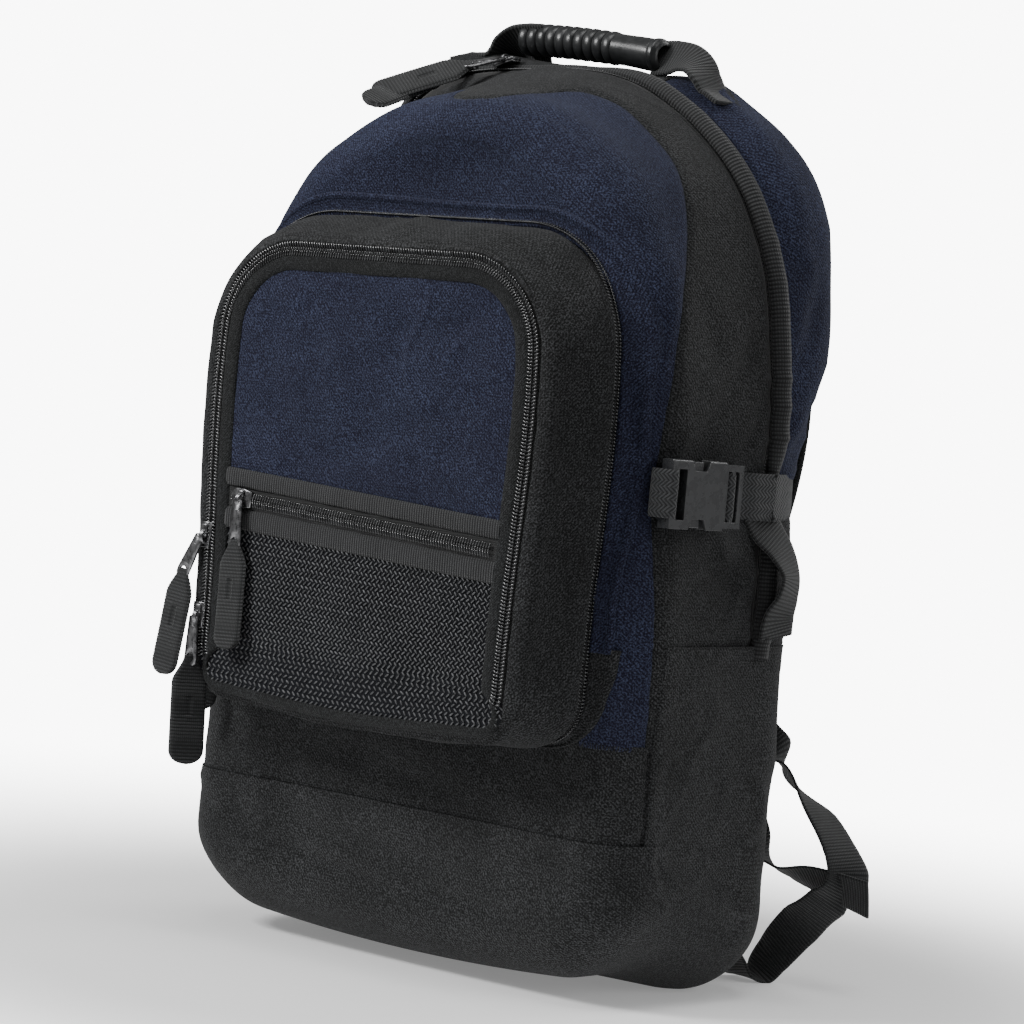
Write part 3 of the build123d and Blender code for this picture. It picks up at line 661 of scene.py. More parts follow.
def floor_paper():
    """Pale paper that fades into the white surroundings away from the bag."""
    n = Nodes("floor_paper", 0.7, Specular_IOR_Level=0.2)
    n.colour(n.noise(0.2, 2.0), (0.88, 0.88, 0.88), (0.92, 0.92, 0.92))
    n.shader.inputs["Emission Color"].default_value = (1.0, 1.0, 1.0, 1.0)
    n.shader.inputs["Emission Strength"].default_value = 0.22
    reach = n.new("ShaderNodeVectorMath", operation="LENGTH")
    n.tree.links.new(n.new("ShaderNodeTexCoord").outputs["Object"], reach.inputs[0])
    fade = n.new("ShaderNodeMapRange", interpolation_type="SMOOTHSTEP")
    fade.inputs["From Min"].default_value = 0.25
    fade.inputs["From Max"].default_value = 0.95
    n.tree.links.new(reach.outputs["Value"], fade.inputs["Value"])
    mix = n.new("ShaderNodeMixShader")
    n.tree.links.new(fade.outputs["Result"], mix.inputs[0])
    n.tree.links.new(n.shader.outputs[0], mix.inputs[1])
    n.tree.links.new(n.new("ShaderNodeBsdfTransparent").outputs[0], mix.inputs[2])
    n.tree.links.new(mix.outputs[0], n.tree.nodes["Material Output"].inputs["Surface"])
    return n.material


FLOOR_HALF, FLOOR_Z = 6000, -0.5
floor_corners = [(0, 0), (1, 0), (1, 1), (0, 1)]
floor_points = [((2 * u - 1) * FLOOR_HALF, (2 * v - 1) * FLOOR_HALF, FLOOR_Z) for u, v in floor_corners]
floor = make_mesh("floor", floor_points, [(0, 1, 2, 3)], floor_corners, floor_paper())


def over_fold(obj):
    """Cloth that crosses the flap's fold: only bakes its placement into its points and leaves it on no body."""
    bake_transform(obj)


def from_front(s, t, points):
    """UVs that unfold the skin from the front face, in metres."""
    point, normal = ARCH.at(s)
    t = np.broadcast_to(t, points.shape[:2])
    edge = (point - EDGE_R * normal)[:, None, :]
    beyond = EDGE_R * math.pi / 2 * np.clip(t - 1, 0, 1) + (ZIP_Y - SEAM_Y) * np.clip(t - 2, 0, 1)
    flat = np.where(t[..., None] < 1, points[..., [0, 2]], edge + normal[:, None, :] * beyond[..., None])
    return flat * MM


def along_outline(s, _, points):
    """UVs along the outline and across it, in metres."""
    across = row_runs(points)
    around = np.broadcast_to(np.asarray(s, float)[:, None], across.shape)
    return np.stack([around, across], -1) * MM


TUCK = 2.6


def panel(name, s, t_from, t_to, columns, material, proud=0.0, tuck=(1.5, 1.5), unfold=from_front, thick=1.4):
    """A shell panel between two stages, proud of the skin, with tucked edges; s may run below 0."""
    around = np.asarray(s, float)
    s = np.mod(around, ARCH.length)
    w = np.linspace(0, 1, columns)
    t_from = np.broadcast_to(np.asarray(t_from, float), s.shape)
    t_to = np.broadcast_to(np.asarray(t_to, float), s.shape)
    t = t_from[:, None] + (t_to - t_from)[:, None] * w
    points, out = bag_surface(s, t)
    points = soften(points, out, t)
    run = row_runs(points)
    away = np.stack([run, run[:, -1:] - run])
    push = proud - tuck[0] * np.exp(-(away[0] / TUCK) ** 2) - tuck[1] * np.exp(-(away[1] / TUCK) ** 2)
    points = points + out * push[..., None]
    uvs = unfold(s if unfold is from_front else around, t, points)
    return sheet_piece(name, points, material, thick, uvs=uvs)


def on_skin(s, t, proud=0.0):
    """Points and outward directions along a line of s and t on the soft skin."""
    s = np.mod(np.asarray(s, float), ARCH.length)
    t = np.broadcast_to(np.asarray(t, float), s.shape)[:, None]
    points, out = bag_surface(s, t)
    points = soften(points, out, t) + out * proud
    return points[:, 0], out[:, 0]


def resample(points, others, spacing):
    """A line of points, and values along it, at even spacing."""
    run = line_run(points)
    count = max(int(run[-1] / spacing), 2)
    at = (np.arange(count) + 0.5) * run[-1] / count

    def pick(values):
        return np.stack([np.interp(at, run, values[:, k]) for k in range(values.shape[1])], -1)

    return pick(points), [pick(v) for v in others]


def frames(points, out):
    """Axes along a line, across it and out of the surface."""
    along = unit(np.gradient(points, axis=0))
    out = unit(out - (out * along).sum(1)[:, None] * along)
    return np.stack([along, np.cross(out, along), out], 1)


STITCH_PITCH, STITCH_LENGTH, STITCH_WIDTH, STITCH_SINK = 3.2, 2.3, 0.55, 0.1


def stitches(name, points, out):
    """A row of stitches along a line."""
    at, (normals,) = resample(points, [out], STITCH_PITCH)
    axes = frames(at, normals)
    shape, faces = bead(STITCH_LENGTH, STITCH_WIDTH, STITCH_WIDTH * 0.8, 6, 3)
    return stamped(name, shape, faces, at - axes[:, 2] * STITCH_SINK, axes, THREAD)


NAVY_EDGE = [(260, 1.77), (330, 1.71), (400, 1.57), (442, 1.63), (480, 1.82), (545, 2.24), (590, 2.44),
             (645, 2.47), (674, 2.4), (692, 1.8), (702, 1.6)]


def navy_edge(s):
    """Stage at which the navy front meets the black arch band."""
    near = np.minimum(np.mod(s, ARCH.length), ARCH.length - np.mod(s, ARCH.length))
    places, stages = zip(*NAVY_EDGE)
    spread = np.linspace(-9, 9, 7)
    return np.mean([np.interp(near + d, places, stages) for d in spread], 0)


S_BASE = distance_at(BASE_TOP)
S_NAVY = distance_at(NAVY_LOW)
S_HEM = distance_at(HEM_Z)
S_STRAP_LOW = distance_at(STRAP_Z - WEBBING / 2)
SIDE_STAGE = 1.8
arch_run = np.arange(S_NAVY, ARCH.length - S_NAVY + 1, 3.0)

front_skin = panel("front_panel_navy", arch_run, 0.0, navy_edge(arch_run), 62, NAVY)
over_fold(front_skin)
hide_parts("front_panel")
band_skin = panel("arch_band_black", arch_run, navy_edge(arch_run), 2.93, 34, BLACK, unfold=along_outline)
over_fold(band_skin)
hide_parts("arch_band")

low_run = np.arange(-S_NAVY - 3, S_NAVY + 4, 3.0)
lower_front = cut(panel("lower_front_black", low_run, 0.0, SIDE_STAGE, 60, BLACK), BASE_TOP, True)
over_fold(lower_front)
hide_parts("lower_front_panel")
base_run = np.arange(-S_BASE - 12, S_BASE + 13, 2.6)
base_skin = cut(panel("base_cloth", base_run, 0.0, 6.0, 170, BLACK, 0.9), BASE_TOP, False)
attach(base_skin, "bag")
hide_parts("base_panel")
board_x, board_y = np.meshgrid(np.linspace(-124, 124, 50), np.linspace(-52, 50, 24), indexing="ij")
board_grid = np.stack([board_x, board_y, 0 * board_x + 3.0], -1)
board_grid[..., 2] += base_rise(board_grid) + 2.2
board = sheet_piece("base_board_sheet", board_grid, BOARD, 2.0)
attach(board, "bag")
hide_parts("base_board")

for side, sign in (("right", 1), ("left", -1)):
    run = np.arange(S_BASE - 2, S_NAVY + 1, 2.8) * sign
    low_side = panel("side_panel_low_" + side, run, SIDE_STAGE, 2.93, 30, BLACK, unfold=along_outline)
    over_fold(low_side)
    run = np.arange(S_BASE - 2, S_STRAP_LOW + 8, 2.8) * sign
    rear_side = panel("side_panel_rear_" + side, run, 3.0, 5.02, 36, BLACK, unfold=along_outline)
    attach(rear_side, "bag")
    if sign > 0:
        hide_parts("side_panels")
S_CROWN = ARCH.length / 2 - 53
S_CROWN_LEFT = S_CROWN - 72
upper = np.arange(S_STRAP_LOW + 4, S_CROWN + 1, 3.0)
gusset = panel("rear_gusset_navy_right", upper, 3.07, 5.02, 40, NAVY, unfold=along_outline)
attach(gusset, "bag")
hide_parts("rear_gusset")
left_run = -upper[upper < S_CROWN_LEFT + 1]
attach(panel("rear_gusset_navy_left", left_run, 3.07, 5.02, 40, NAVY, unfold=along_outline), "bag")
crown_run = np.arange(S_CROWN - 2, ARCH.length - S_CROWN_LEFT + 3, 2.8)
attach(panel("rear_crown_black", crown_run, 3.07, 5.02, 40, BLACK, 0.5, unfold=along_outline), "bag")
back_run = np.arange(-S_BASE, ARCH.length - S_BASE, 4.0)
back_skin = panel("back_panel_black", back_run, 4.95, 6.0, 40, BLACK, -0.6)
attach(back_skin, "bag")
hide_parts("back_panel")


# ---- Small shapes --------------------------------------------------------------------------------------
def taken_from(mesh):
    """Points and faces of a bmesh, which is then freed."""
    mesh.verts.index_update()
    points = np.array([vert.co for vert in mesh.verts])
    faces = [[vert.index for vert in face.verts] for face in mesh.faces]
    mesh.free()
    return points, faces


def rounded_box(low, high, radius):
    """Points and faces of a box with rounded edges."""
    mesh = bmesh.new()
    bmesh.ops.create_cube(mesh, size=1.0)
    low, high = np.array(low, float), np.array(high, float)
    for vert in mesh.verts:
        vert.co = Vector((np.array(vert.co) + 0.5) * (high - low) + low)
    limit = 0.49 * float((high - low).min())
    bmesh.ops.bevel(mesh, geom=mesh.edges[:], offset=min(radius, limit), segments=3, profile=0.5,
                    affect="EDGES", clamp_overlap=True)
    return taken_from(mesh)


def ring_plate(outline, hole, centre, low, high):
    """Points and faces of a plate with one round hole; outline is convex, as (x, y) points."""
    radius = 0.35
    turns = np.linspace(0, 2 * math.pi, 49)[:-1]
    closed = np.vstack([outline, outline[:1]])
    outer = []
    for turn in turns:
        way = np.array([math.cos(turn), math.sin(turn)])
        best = 1e9
        for a, b in zip(closed[:-1], closed[1:]):
            edge = b - a
            cross = way[0] * edge[1] - way[1] * edge[0]
            if abs(cross) > 1e-9:
                gap = a - centre
                reach = (gap[0] * edge[1] - gap[1] * edge[0]) / cross
                part = (gap[0] * way[1] - gap[1] * way[0]) / cross
                if reach > 0 and -1e-6 <= part <= 1 + 1e-6:
                    best = min(best, reach)
        outer.append(centre + way * best)
    outer = np.array(outer)
    inner = centre + hole * np.stack([np.cos(turns), np.sin(turns)], -1)
    rim = unit(outer - centre)
    loops = []
    for flat, height in ((inner + rim * radius, high), (inner, high - radius), (inner, low + radius),
                         (inner + rim * radius, low), (outer - rim * radius, low), (outer, low + radius),
                         (outer, high - radius), (outer - rim * radius, high)):
        loops.append(np.column_stack([flat, np.full(len(flat), height)]))
    points = np.array(loops).transpose(1, 0, 2)
    return points.reshape(-1, 3), tube_faces(len(turns), len(loops), closed=True)


def joined(parts):
    """One set of points and faces from several."""
    points, faces, start = [], [], 0
    for place, polygons in parts:
        points.append(place)
        faces += [[int(v) + start for v in polygon] for polygon in polygons]
        start += len(place)
    return np.concatenate(points), faces


def placed(points, origin, axes):
    """Points moved from a piece's own axes to the bag's."""
    return np.asarray(points) @ np.asarray(axes, float) + np.asarray(origin, float)


# A direction that no rod here runs along.
ASKEW = [0.31, 0.52, 0.79]


def rod(points, radius, sides=10):
    """Points and faces of a round bar along a line of points."""
    points = np.asarray(points, float)
    along = unit(np.gradient(points, axis=0))
    side = unit(np.cross(along, ASKEW))
    other = np.cross(along, side)
    turns = np.arange(sides) * 2 * math.pi / sides
    rings = (points[:, None] + radius * np.cos(turns)[None, :, None] * side[:, None]
             + radius * np.sin(turns)[None, :, None] * other[:, None])
    return rings.reshape(-1, 3), tube_faces(len(points), sides, capped=True)


def copy_rounded(node, name, material, width=0.35):
    """A copy of a hard CAD node with rounded edges."""
    mesh = bmesh.new()
    mesh.from_mesh(frame["nodes"][node].data)
    bmesh.ops.remove_doubles(mesh, verts=mesh.verts, dist=1e-6)
    bmesh.ops.dissolve_limit(mesh, angle_limit=math.radians(1), verts=mesh.verts, edges=mesh.edges)
    data = bpy.data.meshes.new(name)
    mesh.to_mesh(data)
    mesh.free()
    obj = bpy.data.objects.new(name, data)
    bpy.context.scene.collection.objects.link(obj)
    data.materials.clear()
    data.materials.append(material)
    modify(obj, ("BEVEL", {"width": width * MM, "segments": 3, "limit_method": "ANGLE",
                           "angle_limit": math.radians(35), "harden_normals": False}))
    obj.data.polygons.foreach_set("use_smooth", [True] * len(obj.data.polygons))
    modify(obj, ("WEIGHTED_NORMAL", {"keep_sharp": True}))
    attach(obj, body_of_node[node])
    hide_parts(node)
    return obj


body_of_node = {node: body for body, nodes in frame["record"]["behaviour"]["bodies"].items() for node in nodes}


# ---- Zips ----------------------------------------------------------------------------------------------
COIL_PITCH, COIL_SLANT, COIL_REACH = 1.8, 0.35, 2.2
OUT_FRONT = [0.0, -1.0, 0.0]


def coil(name, points, out, reach, slant=COIL_SLANT, size=(3.2, 1.0, 1.2), lift=0.0):
    """Loops of a zip coil along a line, each reaching sideways by reach millimetres from it."""
    at, (normals,) = resample(points, [out], COIL_PITCH)
    axes = frames(at, normals)
    across = axes[:, 1] * math.cos(slant) + axes[:, 0] * math.sin(slant)
    along = np.cross(axes[:, 2], across)
    shape, faces = bead(*size)
    centre = at + axes[:, 1] * reach + axes[:, 2] * lift
    return stamped(name, shape, faces, centre, np.stack([across, along, axes[:, 2]], 1), COIL)


def zip_rows(name, points, out):
    """The two interlocking rows of a closed zip, and the small heads where they meet."""
    left = coil(name + "_row_a", points, out, COIL_REACH)
    right = coil(name + "_row_b", points, out, -COIL_REACH, slant=-COIL_SLANT)
    heads = coil(name + "_heads", points, out, 0.0, size=(1.3, 0.95, 1.3), lift=0.5)
    return left, right, heads


# ---- Front pocket ------------------------------------------------------------------------------------
POCKET_MID_Z = 300.0


def front_distance(s):
    """Distance along the pocket's front ring that faces a distance along its rear ring."""
    return np.interp(s, REAR_RING.stops, FRONT_RING.stops)


def swell(points):
    """The pocket's own bulge: fuller at the sides and slack along the bottom."""
    points = np.array(points, float)
    x, z = points[..., 0], points[..., 2]
    points[..., 0] = x + np.sign(x) * 6.0 * np.exp(-((z - POCKET_MID_Z) / 80) ** 2) * smooth(np.abs(x), 60, 112)
    points[..., 2] = z - 6.0 * np.exp(-(x / 85) ** 2) * (1 - smooth(z, 136, 165))
    return points


def pocket_grid(s, share, offset, y):
    """Points round the pocket: share runs from the rear ring to the front one, offset is outward."""
    rear, rear_out = REAR_RING.at(s)
    front, front_out = FRONT_RING.at(front_distance(s))
    share = np.broadcast_to(np.asarray(share, float), (len(s), np.shape(share)[-1]))[..., None]
    offset = np.broadcast_to(np.asarray(offset, float), share.shape[:2])[..., None]
    depth = np.broadcast_to(np.asarray(y, float), share.shape[:2])
    out = rear_out[:, None] * (1 - share) + front_out[:, None] * share
    out = out / np.linalg.norm(out, axis=-1, keepdims=True)
    xz = rear[:, None] * (1 - share) + front[:, None] * share + out * offset
    points = np.stack([xz[..., 0], depth, xz[..., 1]], -1)
    normal = np.stack([out[..., 0], 0 * depth, out[..., 1]], -1)
    return swell(points), normal


def bvh_of(*objects):
    """A search tree over the outer faces of some pieces."""
    points, faces = [], []
    for obj in objects:
        start = len(points)
        points += [vert.co.copy() for vert in obj.data.vertices]
        faces += [[v + start for v in polygon.vertices] for polygon in obj.data.polygons]
    return BVHTree.FromPolygons(points, faces)


front_tree = bvh_of(front_skin, band_skin, lower_front)


def skin_depth(x, z):
    """Depth y of the bag's front at x and z."""
    hit = front_tree.ray_cast(Vector((x * MM, -0.3, z * MM)), Vector((0, 1, 0)))[0]
    return FRONT_Y + EDGE_R if hit is None else hit.y / MM


ring_run = np.arange(0, REAR_RING.length, 2.4)
ring_z = REAR_RING.at(ring_run)[0][:, 1]
PATCH_Z = 184.0


def flap_ring(name, keep, widths, material, raise_by):
    """Cloth sewn round the pocket's foot, from the bag's skin in to the pocket's zip."""
    s = ring_run[keep]
    if not keep.all() and keep[0]:
        first = int(np.argmin(keep))
        order = np.concatenate([np.arange(first + (~keep).sum(), len(keep)), np.arange(first)])
        s = ring_run[order]
        widths = widths[order]
    else:
        widths = widths[keep]
    share = np.array([0.0, 0.035, 0.1, 0.24, 0.28, 0.34, 0.6, 0.64, 0.7, 0.85, 0.96, 1.0])
    height = np.array([-0.8, 1.1, 1.6, 1.5, 1.2, 1.0, 1.0, 1.05, 1.2, 1.5, 1.7, 0.8]) * raise_by
    offset = widths[:, None] * (1 - share) + 0.4
    points, _ = pocket_grid(s, np.zeros(len(share)), offset, 0.0)
    ground = np.array([[skin_depth(p[0], p[2]) for p in row] for row in points])
    foot = np.minimum(ground, FRONT_Y + 14 * (1 - share) ** 2)
    lean = smooth(share, 0.55, 1.0)
    points[..., 1] = foot * (1 - lean) + np.minimum(foot, POCKET_BACK_Y + 0.3) * lean - height
    return sheet_piece(name, points, material, 1.0)


piping_widths = 13.5 + 1.2 * np.sin(ring_run / 40.0)
patch_drop = np.clip((PATCH_Z - ring_z) / (PATCH_Z - POCKET_LOW), 0, 1)
patch_widths = 3.0 + 13.0 * (1 - patch_drop ** 1.6)
navy_flap = flap_ring("pocket_flap_navy", ring_z > PATCH_Z, piping_widths, NAVY, 1.5)
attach(navy_flap, "main_flap")
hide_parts("pocket_piping")
patch = flap_ring("pocket_foot_black", ring_z <= PATCH_Z + 3, patch_widths, BLACK, 1.1)
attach(patch, "main_flap")

closed_run = np.concatenate([ring_run, ring_run[:1]])
tape_y = np.array([POCKET_BACK_Y, -79.2, -82.9, POCKET_ZIP_Y - 0.6])
tape_points, _ = pocket_grid(ring_run, np.zeros(4), np.array([-1.5, -0.2, -0.2, -1.5]), tape_y)
pocket_tape = sheet_piece("pocket_zip_tape", tape_points, ZIP_TAPE, 0.8, wrap=True)
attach(pocket_tape, "front_pocket")
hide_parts("front_pocket_zip")
over_top = smooth(REAR_RING.at(closed_run)[1][:, 1:], 0.3, 0.9)
line, line_out = pocket_grid(closed_run, np.zeros(1), 0.5 + 3.0 * over_top, np.array([-81.0]))
for piece in zip_rows("pocket_zip", line[:, 0], line_out[:, 0]):
    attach(piece, "front_pocket")


def gusset_points(s):
    """The pocket's side wall, from its zip out to the cover's zip, with its folds and rolled rim."""
    share = np.array([0, 0.02, 0.06, 0.13, 0.22, 0.32, 0.42, 0.52, 0.62, 0.72, 0.8, 0.87, 0.93, 0.97,
                      1, 1, 1, 1, 1, 1])
    offset = np.array([-0.6, 1.2, 2.2, 2.6, 2.7, 2.6, 2.5, 2.5, 2.7, 2.9, 3.2, 3.6, 3.8, 3.4,
                       2.4, 0.4, -2.0, -3.8, -5.0, -5.4])
    y = np.array([-83.2, -84.2, -86.0, -89, -92.5, -96, -99.5, -103, -106, -108.8, -111, -113, -114.9, -116.6,
                  -118.0, -119.2, -119.9, -120.0, -119.7, -118.4])
    upward = FRONT_RING.at(front_distance(s))[1][:, 1]
    top = upward.clip(0, 1)
    offset = offset - top[:, None] * 4.0 * (offset > -3) * smooth(share, 0.5, 1)
    foot = smooth(-upward, 0.15, 0.95)[:, None]
    offset = offset * (1 - foot * (share == 1)) - 1.2 * foot * (share == 1)
    y = y + foot * smooth(share, 0.9, 1.0) * 2.2
    points, out = pocket_grid(s, share, offset, y)
    side = np.abs(out[..., 0])
    fold = 1.5 * wobble(points, 21, 42) + 1.4 * ridges(points, 23, 34, (1.0, 2.2, 0.8))
    for start, end, width, depth in GUSSET_CREASES:
        fold = fold - crease(points, start, end, width, depth)
    rim = 1 - smooth(share, 0.86, 0.97)
    fold = fold * rim * smooth(share, 0.0, 0.12) + 0.35 * wobble(points, 25, 30) * (1 - rim)
    slack = 0.3 + 0.7 * np.exp(-((points[..., 2] - 230) / 60) ** 2)
    fold = fold - 2.2 * side * rim * np.sin(share * math.pi) * slack
    return points + out * fold[..., None]


GUSSET_CREASES = [
    ((60, -86, 395), (104, -112, 372), 5, 2.6), ((96, -88, 386), (118, -108, 352), 5, 2.4),
    ((10, -90, 398), (44, -108, 388), 7, 1.6), ((-70, -88, 396), (-40, -108, 388), 7, 1.6),
    ((130, -86, 330), (122, -112, 300), 5, 2.2), ((131, -88, 300), (120, -110, 262), 6, 1.8),
    ((130, -88, 215), (120, -112, 240), 5, 2.4), ((130, -88, 190), (119, -110, 176), 6, 2.0),
    ((126, -84, 160), (112, -104, 150), 5, 2.0),
]
dense_run = np.arange(0, REAR_RING.length, 1.8)
gusset_skin = sheet_piece("pocket_gusset_cloth", gusset_points(dense_run), BLACK, 1.2, wrap=True)
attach(gusset_skin, "front_pocket")
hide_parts("pocket_gusset")


def seen_run(outline, low):
    """Distances along an outline's part above a height, from its right side over the top to its left."""
    start = distance_at(low, outline)
    return np.linspace(start, outline.length - start, int((outline.length - 2 * start) / 1.5))


uzip_run = seen_run(REAR_RING, 150.0)
uzip_line, _ = pocket_grid(uzip_run, np.ones(1), np.array([-9.1]), np.array([-120.9]))
uzip_line = uzip_line[:, 0]
facing = np.broadcast_to(OUT_FRONT, uzip_line.shape)
outer_row = coil("organiser_zip_row_outer", uzip_line, facing, 2.3)
inner_row = coil("organiser_zip_row_inner", uzip_line, facing, -2.3, slant=-COIL_SLANT)
heads_row = coil("organiser_zip_heads", uzip_line, facing, 0.0, size=(1.5, 1.0, 1.4), lift=0.7)
for name, insets, body, node in (("organiser_tape_outer", (-5.6, -9.0), "front_pocket", "organiser_zip_outer"),
                                 ("organiser_tape_inner", (-9.2, -12.8), "organiser_cover", "organiser_zip_inner")):
    grid, _ = pocket_grid(uzip_run, np.ones(3), np.linspace(*insets, 3), np.array([-118.9, -119.0, -118.9]))
    strip = sheet_piece(name, grid, ZIP_TAPE, 0.7)
    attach(strip, body)
    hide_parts(node)
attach(outer_row, "front_pocket")
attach(inner_row, "organiser_cover")
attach(heads_row, "organiser_cover")


# ---- Organiser cover -----------------------------------------------------------------------------------
FACE_INSET = 20.2
FACE_HALF = FACE_RING_HALF - FACE_INSET
FACE_TOP = FACE_RING_TOP - FACE_INSET
FACE_R = FACE_RING_R - FACE_INSET
FACE_LOW = FACE_RING_LOW + FACE_INSET
FACE_FOOT = 141.5
BAND_TILT = -0.055
TAPE_TOP = 253.2
TAPE_LOW = 243.3
STRIP_TOP = 244.5
ZIP_MID = 236.3
LOWER_TAPE_TOP = 231.8
MESH_TOP = 220.8

binding_offsets = np.array([-11.6, -12.0, -12.8, -14.2, -16.0, -17.8, -19.4, -20.4, -20.9, -20.9])
binding_y = np.array([-118.6, -119.7, -120.4, -120.8, -120.9, -120.8, -120.5, -120.0, -119.4, -118.6])
at_foot = smooth(-FRONT_RING.at(front_distance(dense_run))[1][:, 1], 0.15, 0.95)[:, None]
foot_offsets = np.array([0.4, 0.3, -0.2, -0.9, -1.8, -2.8, -3.6, -4.2, -4.6, -4.8])
foot_y = np.array([-118.2, -118.7, -119.2, -119.6, -119.9, -120.0, -120.0, -119.9, -119.6, -119.0])
binding_offsets = binding_offsets * (1 - at_foot) + foot_offsets * at_foot
binding_y = binding_y * (1 - at_foot) + foot_y * at_foot
binding_grid, _ = pocket_grid(dense_run, np.ones(10), binding_offsets, binding_y)
binding_grid[..., 1] += 0.35 * wobble(binding_grid, 31, 26)
binding_piece = sheet_piece("cover_binding_cloth", binding_grid, BLACK_FINE, 1.0, wrap=True)
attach(binding_piece, "organiser_cover")
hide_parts("cover_binding", "cover_lining")


def face_half(z):
    """Half the width of the cover's face at height z."""
    rise = np.clip(z - (FACE_TOP - FACE_R), 0, FACE_R)
    foot = 14.0 * smooth(168 - z, 0, 12) - 6.0 * smooth(150 - z, 0, 9)
    return FACE_HALF - FACE_R + np.sqrt(FACE_R ** 2 - rise ** 2) + foot


def cover_sheet(name, low, high, depth, material, rows, tilt=BAND_TILT, columns=150, shape=None):
    """A layer of the cover between two heights, which slopes with its band; shape adds to its depth."""
    level = np.linspace(0, 1, rows)
    x = np.linspace(-1, 1, columns)
    z = low + (high - low) * level
    half = face_half(z) + 1.0
    px = half[:, None] * x
    slope = tilt * (1 - level) if high > TAPE_TOP + 5 else tilt * (level if low < LOWER_TAPE_TOP - 20 else 1)
    slope = slope + 0 * level
    pz = z[:, None] + slope[:, None] * px
    points = np.stack([px, np.full_like(px, depth), pz], -1)
    if shape is not None:
        points[..., 1] += shape(points, x[None, :] + 0 * px, level[:, None] + 0 * px)
    points = swell(points)
    uvs = points[..., [0, 2]] * MM
    return sheet_piece(name, points[:, ::-1], material, 1.0, uvs=uvs[:, ::-1])


def face_puff(points, x, level):
    """The navy face's soft swell and its dents."""
    edge = (1 - np.abs(x) ** 6) * (1 - (2 * level - 1) ** 8)
    soft = 1.3 * wobble(points, 35, 70) + 0.8 * wobble(points, 36, 30) + 0.9 * ridges(points, 38, 40, (1.4, 1, 0.9))
    dents = sum(crease(points, *c) for c in FACE_CREASES)
    return -(1.8 + soft) * edge + dents * edge


FACE_CREASES = [
    ((-10, -119, 352), (22, -119, 336), 6, 1.6), ((8, -119, 338), (40, -119, 346), 6, 1.2),
    ((-70, -119, 300), (-40, -119, 262), 10, 1.2), ((60, -119, 352), (86, -119, 300), 9, 1.4),
]
cover_face = cover_sheet("cover_face_navy", TAPE_TOP - 1.5, FACE_TOP + 0.8, -119.2, NAVY, 84, shape=face_puff)
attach(cover_face, "organiser_cover")
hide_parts("cover_panel")


def tape_shape(seed):
    """A tape's rolled edges and its small waves."""
    return lambda points, x, level: 0.6 * (2 * level - 1) ** 4 - 0.25 * wobble(points, seed, 25)


upper_tape = cover_sheet("cover_tape_upper", TAPE_LOW, TAPE_TOP, -120.6, RIBBED_ALONG, 6, shape=tape_shape(41))
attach(upper_tape, "organiser_cover")
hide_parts("cover_tape")
zip_strip = cover_sheet("mesh_zip_tape", LOWER_TAPE_TOP - 3, STRIP_TOP, -119.5, ZIP_TAPE, 6)
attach(zip_strip, "organiser_cover")
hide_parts("mesh_zip")
lower_tape = cover_sheet("cover_tape_lower", MESH_TOP - 0.5, LOWER_TAPE_TOP, -120.5, RIBBED_ALONG, 6,
                         shape=tape_shape(42))
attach(lower_tape, "organiser_cover")

zip_x = np.linspace(-FACE_HALF + 1, FACE_HALF - 1, 160)
mesh_line = np.stack([zip_x, np.full_like(zip_x, -121.0), ZIP_MID + 1.0 + BAND_TILT * zip_x], -1)
facing = np.broadcast_to(OUT_FRONT, mesh_line.shape)
for piece in zip_rows("mesh_zip", mesh_line, facing):
    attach(piece, "organiser_cover")


def mesh_belly(points, x, level):
    """How far the slack mesh hangs forward."""
    return -(1 - np.abs(x) ** 4) * np.sin(level * math.pi) * (2.0 + 1.2 * wobble(points, 45, 60))


# A near-black sheet right behind the yarn, standing in for the mesh pocket: painted shade in its holes.
mesh_hole_shade = cover_sheet("mesh_pocket_hole_shade", FACE_FOOT, MESH_TOP, -118.9, MESH_HOLE_SHADE, 40, shape=mesh_belly)
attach(mesh_hole_shade, "organiser_cover")
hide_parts("mesh_pocket")


def mesh_knots():
    """The open yarn of the mesh: short loops that lean one way and then the other."""
    rows, cols = 36, 58
    i, j = np.meshgrid(np.arange(rows), np.arange(cols), indexing="ij")
    level = (i + 0.5) / rows
    x = ((j + 0.5 + 0.5 * (i % 2)) / cols * 2 - 1) * 0.995
    flat_z = FACE_FOOT + 0.8 + (MESH_TOP - FACE_FOOT - 0.8) * level
    px = x * (face_half(flat_z) + 0.4)
    pz = flat_z + BAND_TILT * level * px
    points = np.stack([px, np.full_like(px, -119.3), pz], -1)
    points[..., 1] += mesh_belly(points, x, level)
    points = swell(points).reshape(-1, 3)
    rng = np.random.default_rng(7)
    lean = np.where(i % 2 == 0, 0.75, -0.75).ravel() + rng.normal(0, 0.12, points.shape[0])
    across = np.stack([np.cos(lean), 0 * lean, np.sin(lean)], -1)
    out = np.broadcast_to(OUT_FRONT, points.shape)
    shape, faces = bead(2.8, 1.0, 1.0, 6, 3)
    axes = np.stack([across, np.cross(out, across), out], 1)
    return stamped("mesh_pocket_yarn", shape, faces, points, axes, MESH)


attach(mesh_knots(), "organiser_cover")
back_sheet = cover_sheet("organiser_back_cloth", FACE_LOW - 8, FACE_TOP + 6, -98.0, LINING, 50, tilt=0.0,
                         columns=60, shape=lambda points, x, level: 0.8 * wobble(points, 47, 60))
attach(back_sheet, "front_pocket")
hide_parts("organiser_back")


